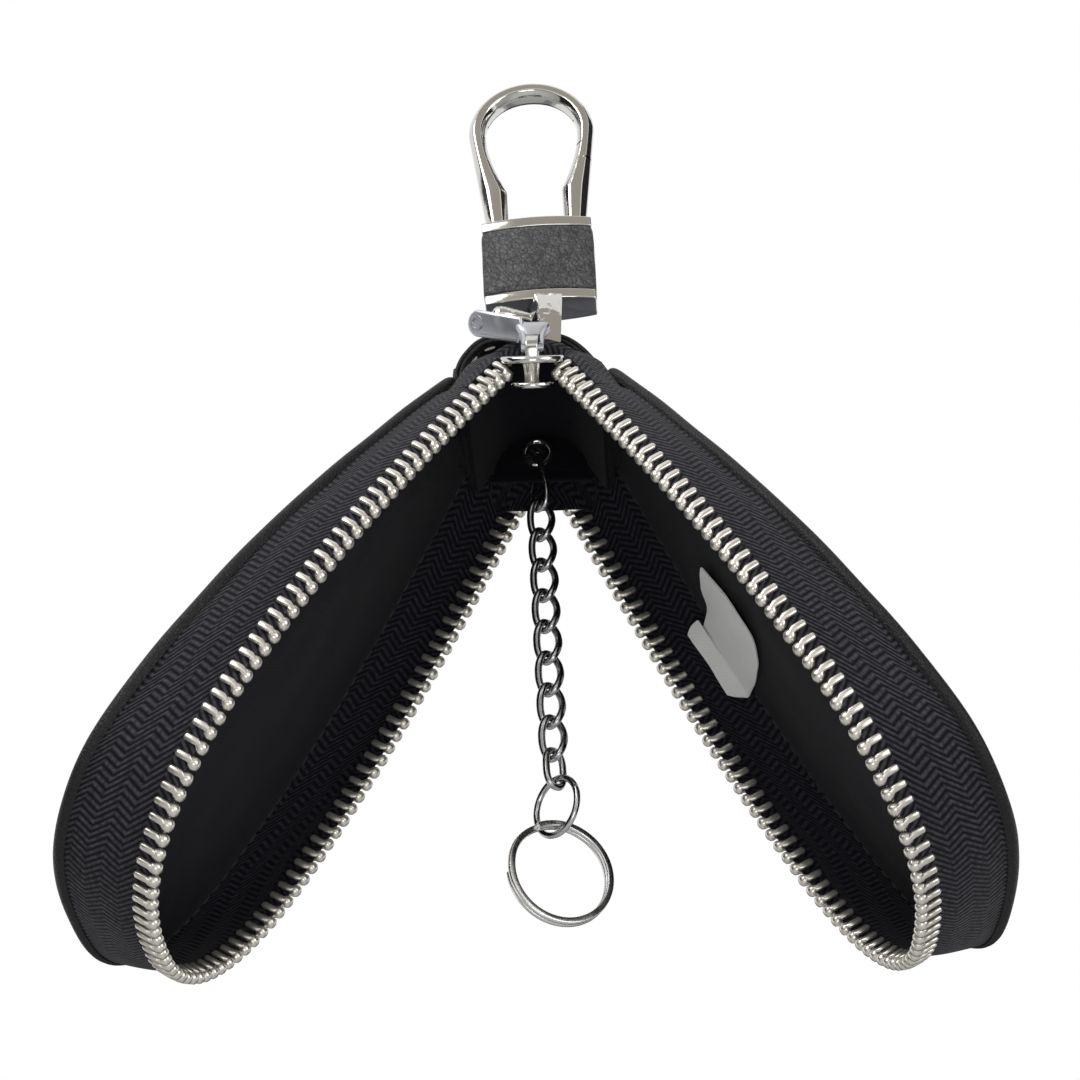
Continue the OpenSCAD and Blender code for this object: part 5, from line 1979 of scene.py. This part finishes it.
@dataclass
class Slider(SubAssembly):
    """The zip's slider with its crown and puller, parked at the near top corner."""

    top_w: float = 5.35
    low_w: float = 3.35
    plate_t: float = 1.1
    low_t: float = 0.8
    channel_h: float = 3.4
    tail: float = 9.6
    mouth: float = 2.2
    tail_share: float = 0.72
    post_w: float = 1.35
    post_back: float = 2.4
    low_more: float = 0.3
    rail_w: float = 0.35
    rail_h: float = 0.55
    rail_y: float = 5.4
    rail_end: float = 0.6
    foot_in: float = 0.5
    crown_w: float = 2.1
    crown_y0: float = 2.0
    crown_y1: float = 9.0
    crown_h: float = 3.3
    crown_t: float = 1.0
    pull_y: float = 5.5
    pull_up: float = 1.25
    bar_r: float = 0.6
    cheek_gap: float = 0.42
    # Levels of the block: distance past its middle, half-width, and depth as a share.
    clip_block: tuple = ((-2.3, 1.0, 0.3), (-2.2, 1.6, 0.6), (-1.0, 2.3, 1), (0.1, 2.9, 1.1),
                         (0.7, 2.8, 1), (1.1, 2.3, 0.6))
    tongue_root: tuple = (-2.35, -18.6, 9.2)
    tongue_end: tuple = (-11.25, -13.1, 15.3)
    tongue_lie: tuple = (0.0, -0.53, 0.85)
    tongue_w: float = 4.3
    tongue_t: float = 1.2
    rim_inset: float = 0.45
    hole_r: float = 0.9
    eye_w: float = 0.5
    eye_h: float = 0.55

    def outline(self, half_w: float) -> np.ndarray:
        """Outline of one of the slider's plates: a round mouth and a tapering tail.

        Args:
            half_w: Half the plate's width.

        Returns:
            The outline's points.
        """
        turns = np.radians(np.linspace(180, 360, 25))
        mouth = round_points(turns, half_w) + [0, half_w - self.mouth]
        narrow = half_w * self.tail_share
        tail = [(narrow + 0.1, self.tail - 0.8), (narrow - 0.7, self.tail),
                (-narrow + 0.7, self.tail), (-narrow - 0.1, self.tail - 0.8)]
        return np.vstack([mouth, tail])

    def body_shell(self) -> Shell:
        """Both plates, the post between them and the rails along their sides.

        Returns:
            The body's shell.
        """
        half_h = self.channel_h / 2
        top = plate(self.outline(self.top_w), half_h - 0.1, half_h + self.plate_t, 0.5)
        low = plate(self.outline(self.low_w + self.low_more), -half_h - self.low_t,
                    -half_h + 0.2, 0.4)
        section = rounded([(0, -self.mouth * 0.8), (self.post_w, 0), (0, self.post_back),
                           (-self.post_w, 0)], 0.15, 3)
        rings = []
        for t in np.linspace(-1, 1, 13):
            flare = 0.95 + 0.13 * t + 0.2 * abs(t) ** 3
            rings.append(at_height(section * flare, t * (half_h + 0.3)))
        shells = [low, loft(np.array(rings))]
        for m in (-1, 1):
            x = m * (self.top_w * self.tail_share - self.rail_w)
            run = self.tail - self.rail_y - self.rail_end
            path = np.array([(x + m * self.rail_w * (1 - k), self.rail_y + run * k,
                              half_h - 0.1 - 0.3 * k ** 0.5) for k in np.linspace(0, 1, 9)])
            section = bar_section(self.rail_w, self.rail_h, 0.2, 3)
            shells.append(sweep(path, section, (1, 0, 0)))
        return top.joined(*shells)

    def crown(self) -> None:
        """The arched crown over the puller's bar."""
        base = self.channel_h / 2 + self.plate_t
        y0, y1 = self.crown_y0 + self.foot_in, self.crown_y1 - self.foot_in
        h = self.crown_h - self.foot_in
        climb = [(0.0, -0.2), (0.1, 0.6 * h), (1.3, 0.96 * h)]
        path = smooth_line([*((0, y0 + run, base + up) for run, up in climb),
                            (0, (y0 + y1) / 2, base + h),
                            *((0, y1 - run, base + up) for run, up in climb[::-1])], 6)
        section = bar_section(self.crown_w / 2, self.crown_t / 2, 0.3)
        self.shape("slider_bridge", sweep(path, section, (1, 0, 0)), self.hanging.slider(),
                   (SLIDER_NICKEL,), "slider_metal", "case", "slider_crown")

    def clip(self, foot: np.ndarray) -> list[Shell]:
        """The puller's bar under the crown, its two cheeks and the block that they end in.

        Args:
            foot: Where the block is, in the case's frame.

        Returns:
            The solids.
        """
        pitch = math.radians(self.hanging.slider_pitch_deg)
        up = self.channel_h / 2 + self.plate_t + self.pull_up
        pivot = np.array([0, self.pull_y * math.cos(pitch) - up * math.sin(pitch)
                          - self.hanging.slider_front,
                          self.pull_y * math.sin(pitch) + up * math.cos(pitch)
                          - self.hanging.slider_below])
        reach = self.crown_w / 2 + self.cheek_gap
        bar = np.array([pivot + (x, 0, 0) for x in np.linspace(-reach - 0.4, reach + 0.4, 7)])
        circle = round_points(np.radians(np.arange(12) * 30), self.bar_r)
        shells = [sweep(bar, circle, (0, 1, 0))]
        for m in (-reach, reach):
            line = [pivot + (m, 0, 0), (pivot + foot) / 2 + (m * 1.05, 0, 0),
                    foot + (m * 1.5, 0, 0)]
            shells.append(sweep(smooth_line(line, 6), bar_section(0.35, 0.9, 0.25), (1, 0.2, 0)))
        rise = unit(foot - pivot)
        block, lift = bar_section(1, 1.1, 0.5), np.cross((1, 0, 0), rise)
        rings = [foot + rise * h + block[:, :1] * (w, 0, 0) + block[:, 1:] * d * lift
                 for h, w, d in self.clip_block]
        return [*shells, loft(np.array(rings))]

    def tongue(self, root: np.ndarray) -> list[Shell]:
        """The puller's tongue, with a raised rim and an eye.

        Args:
            root: Where it starts, in the case's frame.

        Returns:
            The solids.
        """
        way = np.array(self.tongue_end) - root
        length = float(np.linalg.norm(way))
        along, lie = way / length, np.array(self.tongue_lie)
        across = unit(lie - along * (lie @ along))
        axes = np.column_stack([along, across, np.cross(along, across), root])
        place = Matrix(axes.tolist() + [[0, 0, 0, 1]])
        half = self.tongue_w / 2
        tip = round_points(np.radians(np.linspace(-90, 90, 19)), half) + [length - half, 0]
        outline = np.vstack([[(-0.5, half * 0.8), (-0.9, 0), (-0.5, -half * 0.8)], tip])
        leaf = plate(outline, -self.tongue_t / 2 + 0.2, self.tongue_t / 2 - 0.2, 0.3)
        line = at_height(outline * 0.999, 0.0)
        middle = line.mean(axis=0)
        reach = np.linalg.norm(line - middle, axis=1, keepdims=True)
        line = middle + (line - middle) * (1 - self.rim_inset / reach)
        section = round_points(np.radians(np.arange(8) * 45), 0.42, 0.6)
        rim = sweep(line, section, (0, 0, 1), closed=True)
        r0, r1 = self.hole_r, self.hole_r + self.eye_w
        eye = revolve(np.array([(r0, -self.eye_h), (r1, -self.eye_h), (r1, self.eye_h),
                                (r0, self.eye_h)]), 28)
        eye = eye.moved(Matrix.Translation((length - half, 0, 0)))
        return [shell.moved(place) for shell in (leaf, rim, eye)]

    def build(self) -> None:
        """Builds the slider and its puller."""
        self.shape("slider_cast", self.body_shell(), self.hanging.slider(), (SLIDER_NICKEL,),
                   "slider_metal", "case", "slider_body")
        self.crown()
        root = np.array(self.tongue_root)
        first, *others = self.clip(root * [0, 1, 1]) + self.tongue(root)
        self.shape("puller_tongue", first.joined(*others), self.hanging.case(),
                   (PULLER_SATIN,), "puller_metal", "puller", "puller", 45.0)


@dataclass
class Chain(SubAssembly):
    """The curb chain from the eyelet down to the split key ring."""

    x: float = -2.3
    y: float = 12.0
    wire: float = 1.2
    link_w: float = 4.95
    curb_wire: float = 1.26
    pitch: float = 6.15
    gap: float = 0.12
    ring_gap: float = 0.38
    twist_deg: float = 45.0
    squareness: float = 2.6
    count: int = 8
    eyelet_link_top: float = -72.25
    eyelet_link_l: float = 11.85
    eyelet_link_w: float = 6.0
    end_link_l: float = 7.8
    jump_r: float = 5.45
    jump_wire: float = 1.1
    jump_turn_deg: float = -45.0
    key_r: float = 9.1
    key_band: float = 1.1
    key_t: float = 1.9
    key_turn_deg: float = 24.0

    def loop(self, a: float, b: float, turn_deg: float, twist_deg: float) -> np.ndarray:
        """Centre line of a link about its middle.

        Args:
            a: Its half-length.
            b: Its half-width.
            turn_deg: Its turn about the chain.
            twist_deg: Its twist from the middle to each end.

        Returns:
            The line's points.
        """
        t = (np.arange(64) + 0.5) * 2 * math.pi / 64
        power = 2 / self.squareness
        z, r = a * squared(np.sin(t), power), b * squared(np.cos(t), power)
        w = np.radians(turn_deg + twist_deg * z / a)
        return np.stack([r * np.cos(w), r * np.sin(w), z], axis=1)

    def link(self, name: str, node: str, line: np.ndarray, z: float, wire: float,
             trees: Trees) -> None:
        """Makes one link of round wire, whose centre line has its middle at a height."""
        mesh = trees.wire.run(line + [self.x, self.y, z], wire, CHAIN_GUNMETAL)
        self.settle(link_object(name, mesh), "chain_metal", node, (node,))

    def split_ring(self, z: float) -> None:
        """The key ring: two turns of flat spring wire that cross over once.

        Args:
            z: The height of its middle.
        """
        start, end, cross, cross_half = 35.0, 685.0, 360.0, 32.0
        turns = np.linspace(start, end, 240)
        half = self.key_t / 4
        step = np.clip((turns - (cross - cross_half)) / (2 * cross_half), 0, 1)
        rise = -half + 2 * half * step * step * (3 - 2 * step)
        circle = round_points(np.radians(turns), self.key_r - self.key_band / 2)
        section = bar_section(half * 0.96, self.key_band / 2, 0.28, 3)
        shell = sweep(np.column_stack([circle, rise]), section, (0, 0, 1))
        place = (Matrix.Translation((self.x, self.y, z)) @ turned(self.key_turn_deg, "Z")
                 @ turned(90, "X") @ turned(150, "Z"))
        self.shape("split_ring", shell, place, (RING_NICKEL,), "ring_metal", "key_ring",
                   "key_ring", 35.0)

    def build(self, trees: Trees) -> None:
        """Builds the chain from the top down.

        Args:
            trees: The node trees.
        """
        step = self.wire + self.gap
        low = self.eyelet_link_top - (self.eyelet_link_l - self.wire)
        eyelet_a = (self.eyelet_link_l - self.wire) / 2
        eyelet_b = (self.eyelet_link_w - self.wire) / 2
        self.link("link_at_eyelet", "eyelet_link",
                  self.loop(eyelet_a, eyelet_b, 90 + self.twist_deg / 2, -self.twist_deg / 2),
                  (self.eyelet_link_top + low) / 2, self.wire, trees)
        a, b = (self.pitch + step) / 2, (self.link_w - self.wire) / 2
        z = low + step - a
        for i in range(self.count):
            self.link(f"curb_link_{i + 1}", f"chain_link_{i + 1}",
                      self.loop(a, b, 0, self.twist_deg), z - i * self.pitch, self.curb_wire,
                      trees)
        end_a = (self.end_link_l - self.wire) / 2
        end_z = z - (self.count - 1) * self.pitch - a + step - end_a
        self.link("link_at_end", "end_link", self.loop(end_a, b, self.twist_deg, 0), end_z,
                  self.wire, trees)
        jump_rc = self.jump_r - self.jump_wire / 2
        jump_z = end_z - end_a + (self.wire + self.jump_wire) / 2 + self.gap - jump_rc
        across, up = round_points(np.radians(np.linspace(22, 22 + 356, 80)), jump_rc).T
        spin = math.radians(self.jump_turn_deg)
        path = np.stack([across * math.cos(spin) + self.x, across * math.sin(spin) + self.y,
                         up + jump_z], axis=1)
        mesh = trees.wire.run(path, self.jump_wire, CHAIN_GUNMETAL, closed=False)
        self.settle(link_object("jump_loop", mesh), "chain_metal", "jump_ring", ("jump_ring",))
        self.split_ring(jump_z - jump_rc + (self.jump_wire + self.key_band) / 2 + self.ring_gap
                        - (self.key_r - self.key_band / 2))


@dataclass
class Label(SubAssembly):
    """The bare white label: a slip over the lining that climbs the far tape."""

    thick: float = 0.25
    wall_foot_in: float = 1.8
    wall_head_in: float = 0.5
    wall_head_z: float = 4.2
    wall_out: tuple = (0, -0.9, -0.43)
    wall_lift: float = 0.42
    # Rows over the lining: place across, left and right edge, and height over the panel.
    rows: tuple = ((5.7, 33.4, 34.3, 1.5), (6.2, 33.1, 40.5, 1.45), (7.2, 32.9, 44.5, 1.3),
                   (8.8, 32.6, 46.6, 1.1), (12.0, 32.2, 48.2, 0.8), (16.4, 32.1, 48.9, 0.6),
                   (20.0, 33.5, 48.8, 0.55), (25.0, 33.2, 48.2, 0.6), (27.6, 32.8, 47.8, 0.9))
    # Rows up the tape: share of the climb, left and right edge.
    wall_rows: tuple = ((0.12, 32.2, 47.4), (0.24, 32.0, 46.8), (0.36, 32.2, 46.0),
                        (0.47, 32.8, 45.0))

    def build(self) -> None:
        """Builds the slip."""
        side, place = Side.RIGHT, self.hanging
        rings = []
        table = [(y, s0, s1, None, lift) for y, s0, s1, lift in self.rows]
        table += [(None, s0, s1, k, self.wall_lift) for k, s0, s1 in self.wall_rows]
        for y, s0, s1, wall, lift in table:
            across = np.linspace(s0, s1, 9)
            upper, lower = [], []
            for s in across:
                face = float(place.panel_face(s))
                if wall is None:
                    point = np.array([s, y, face - lift - 0.5])
                    out = np.array([0, 0, -1.0])
                else:
                    foot_y = float(PANEL.half_width(s)) - self.wall_foot_in
                    head_y = float(ROW.half_width(s)) - self.wall_head_in
                    out = np.array(self.wall_out)
                    point = out * lift + (s, foot_y + (head_y - foot_y) * wall,
                                          face - 0.6 + (self.wall_head_z - face) * wall)
                upper.append(point)
                lower.append(point - out * self.thick)
            rings.append(upper + lower[::-1])
        rings = np.array(rings)
        rings = np.array([smooth_line(rings[:, j], 4) for j in range(rings.shape[1])])
        rings = rings.transpose(1, 0, 2)
        rings[..., 2] += uneven(rings, 6.0, 0.3)
        self.shape("label_slip", loft(rings), place.half(side), (LABEL_SATIN,), "label",
                   "right_half", "label", 60.0)


@dataclass
class Studio:
    """Plain soft light, a pale floor and the photograph's camera."""

    lens_mm: float = 91.17
    distance: float = 461.4
    elevation_deg: float = 31.79
    yaw_deg: float = -2.85
    target: tuple = (0.27, 0.0, -21.06)
    floor_z: float = -0.95
    ambient: float = 0.45
    sensor_mm: float = 36.0
    # Name, place in metres, side in metres, and watts.
    lamps: tuple = (("key_lamp", (-0.55, -0.65, 0.45), 0.6, 5.5),
                    ("fill_lamp", (0.75, -0.6, -0.15), 0.6, 2.6),
                    ("low_lamp", (0.05, -0.75, -0.65), 0.35, 1.2))
    # Name, start and end round the case, lower and upper edge, and colour.
    cards: tuple = (("grey_card_near", (-38, 44), (12, 55), "#b0aaa0"),
                    ("dark_card_left", (-88, -42), (-25, 48), "#1c1b1a"),
                    ("dark_card_right", (60, 120), (-10, 60), "#242322"),
                    ("grey_card_low", (-30, 30), (-62, -8), "#98938b"),
                    ("dark_card_far", (150, 210), (-20, 30), "#3a3835"),
                    ("grey_card_far", (140, 220), (-66, -20), "#85878e"))

    def camera(self, hanging: Hanging) -> None:
        """The camera, below the case and in front of it.

        Args:
            hanging: The case's frames, in which the view was measured.
        """
        yaw, rise = math.radians(self.yaw_deg), math.radians(self.elevation_deg)
        level = Vector((math.sin(yaw), math.cos(yaw), 0))
        depth = level * math.cos(rise) + Vector((0, 0, math.sin(rise)))
        right = Vector((math.cos(yaw), -math.sin(yaw), 0))
        up = right.cross(depth)
        turn = hanging.case().to_3x3()
        place = hanging.case() @ (Vector(self.target) - depth * self.distance)
        axes = Matrix([turn @ right, turn @ up, turn @ -depth]).transposed()
        data = bpy.data.cameras.new("camera")
        data.lens, data.sensor_width = self.lens_mm, self.sensor_mm
        data.clip_start, data.clip_end = 0.01, 20.0
        camera = bpy.data.objects.new("camera", data)
        camera.matrix_world = Matrix.Translation(place * MM) @ axes.to_4x4()
        bpy.context.scene.collection.objects.link(camera)
        bpy.context.scene.camera = camera

    def lamp(self, name: str, place: Sequence[float], size: float, watts: float) -> None:
        """A soft square lamp that faces the case.

        Args:
            name: Its name.
            place: Where it stands, in metres.
            size: Its side, in metres.
            watts: Its power.
        """
        data = bpy.data.lights.new(name, "AREA")
        data.energy, data.size = watts, size
        lamp = bpy.data.objects.new(name, data)
        lamp.location = place
        aim = Vector((0, 0, -0.09)) - Vector(place)
        lamp.rotation_mode = "QUATERNION"
        lamp.rotation_quaternion = aim.to_track_quat("-Z", "Y")
        bpy.context.scene.collection.objects.link(lamp)

    def card(self, name: str, azimuth: Sequence[float], rise: Sequence[float], colour: str,
             distance: float = 1.6) -> None:
        """A card that only reflections see, which gives bright metal its greys and dark lines.

        Args:
            name: Its name.
            azimuth: Its start and end round the case, in degrees from the near side to the right.
            rise: The elevation of its lower and upper edge, in degrees.
            colour: The colour that reflections get from it.
            distance: How far off it stands, in metres.
        """
        turns = np.radians(np.linspace(*azimuth, 13))
        points = [(distance * math.sin(a), -distance * math.cos(a),
                   distance * math.tan(math.radians(e))) for e in rise for a in turns]
        faces = [(i, i + 1, i + 14, i + 13) for i in range(12)]
        mesh = bpy.data.meshes.new(name)
        mesh.from_pydata(points, [], faces)
        paint = f"{name}_paint"
        Finish(paint, "#000000", 1.0).start({
            "Emission Color": to_linear(colour), "Emission Strength": 1.0})
        mesh.materials.append(bpy.data.materials[paint])
        card = link_object(name, mesh)
        card.visible_camera = card.visible_diffuse = card.visible_shadow = False
        card.visible_transmission = False

    def world(self) -> None:
        """A white surround for the camera and for reflections, and a plain level of light."""
        world = bpy.data.worlds.new("studio")
        bpy.context.scene.world = world
        world.use_nodes = True
        tree = world.node_tree
        tree.nodes.clear()
        path = add(tree, "ShaderNodeLightPath").outputs
        seen = reckon(tree, "MAXIMUM", path["Is Camera Ray"], path["Is Glossy Ray"])
        seen = reckon(tree, "MAXIMUM", seen, path["Is Transmission Ray"])
        light = add(tree, "ShaderNodeBackground", {
            "Color": (1, 1, 1, 1), "Strength": self.ambient})
        white = add(tree, "ShaderNodeBackground", {"Color": (1, 1, 1, 1), "Strength": 1.0})
        mixed = add(tree, "ShaderNodeMixShader", {
            0: seen, 1: light.outputs[0], 2: white.outputs[0]})
        add(tree, "ShaderNodeOutputWorld", {"Surface": mixed.outputs[0]})

    def floor(self) -> None:
        """A pale floor far under the case."""
        mesh = bpy.data.meshes.new("floor")
        corners = [(-3, -3, self.floor_z), (3, -3, self.floor_z), (3, 3, self.floor_z),
                   (-3, 3, self.floor_z)]
        mesh.from_pydata(corners, [], [(0, 1, 2, 3)])
        mesh.materials.append(Speckled("pale_floor", "#e9e9e8", 0.8, light="#f2f2f1",
                                       grain_mm=40.0, depth_mm=0.1).material())
        link_object("floor", mesh)

    def build(self, hanging: Hanging) -> None:
        """Sets the stage.

        Args:
            hanging: The case's frames.
        """
        bpy.context.scene.view_settings.view_transform = "Standard"
        self.camera(hanging)
        self.world()
        self.floor()
        for lamp in self.lamps:
            self.lamp(*lamp)
        for card in self.cards:
            self.card(*card)


def main() -> None:
    """Builds the key case and its studio."""
    logging.basicConfig(level=logging.INFO, format="%(name)s: %(message)s")
    hanging = Hanging()
    Studio().build(hanging)
    trees = Trees()
    Hook(hanging).build()
    Spine(hanging).build(trees)
    tooth = Tooth().mesh()
    for side in Side:
        ZipHalf(hanging, side).build(trees, tooth)
    Slider(hanging).build()
    Chain(hanging).build(trees)
    Label(hanging).build()


if __name__ == "__main__":
    main()
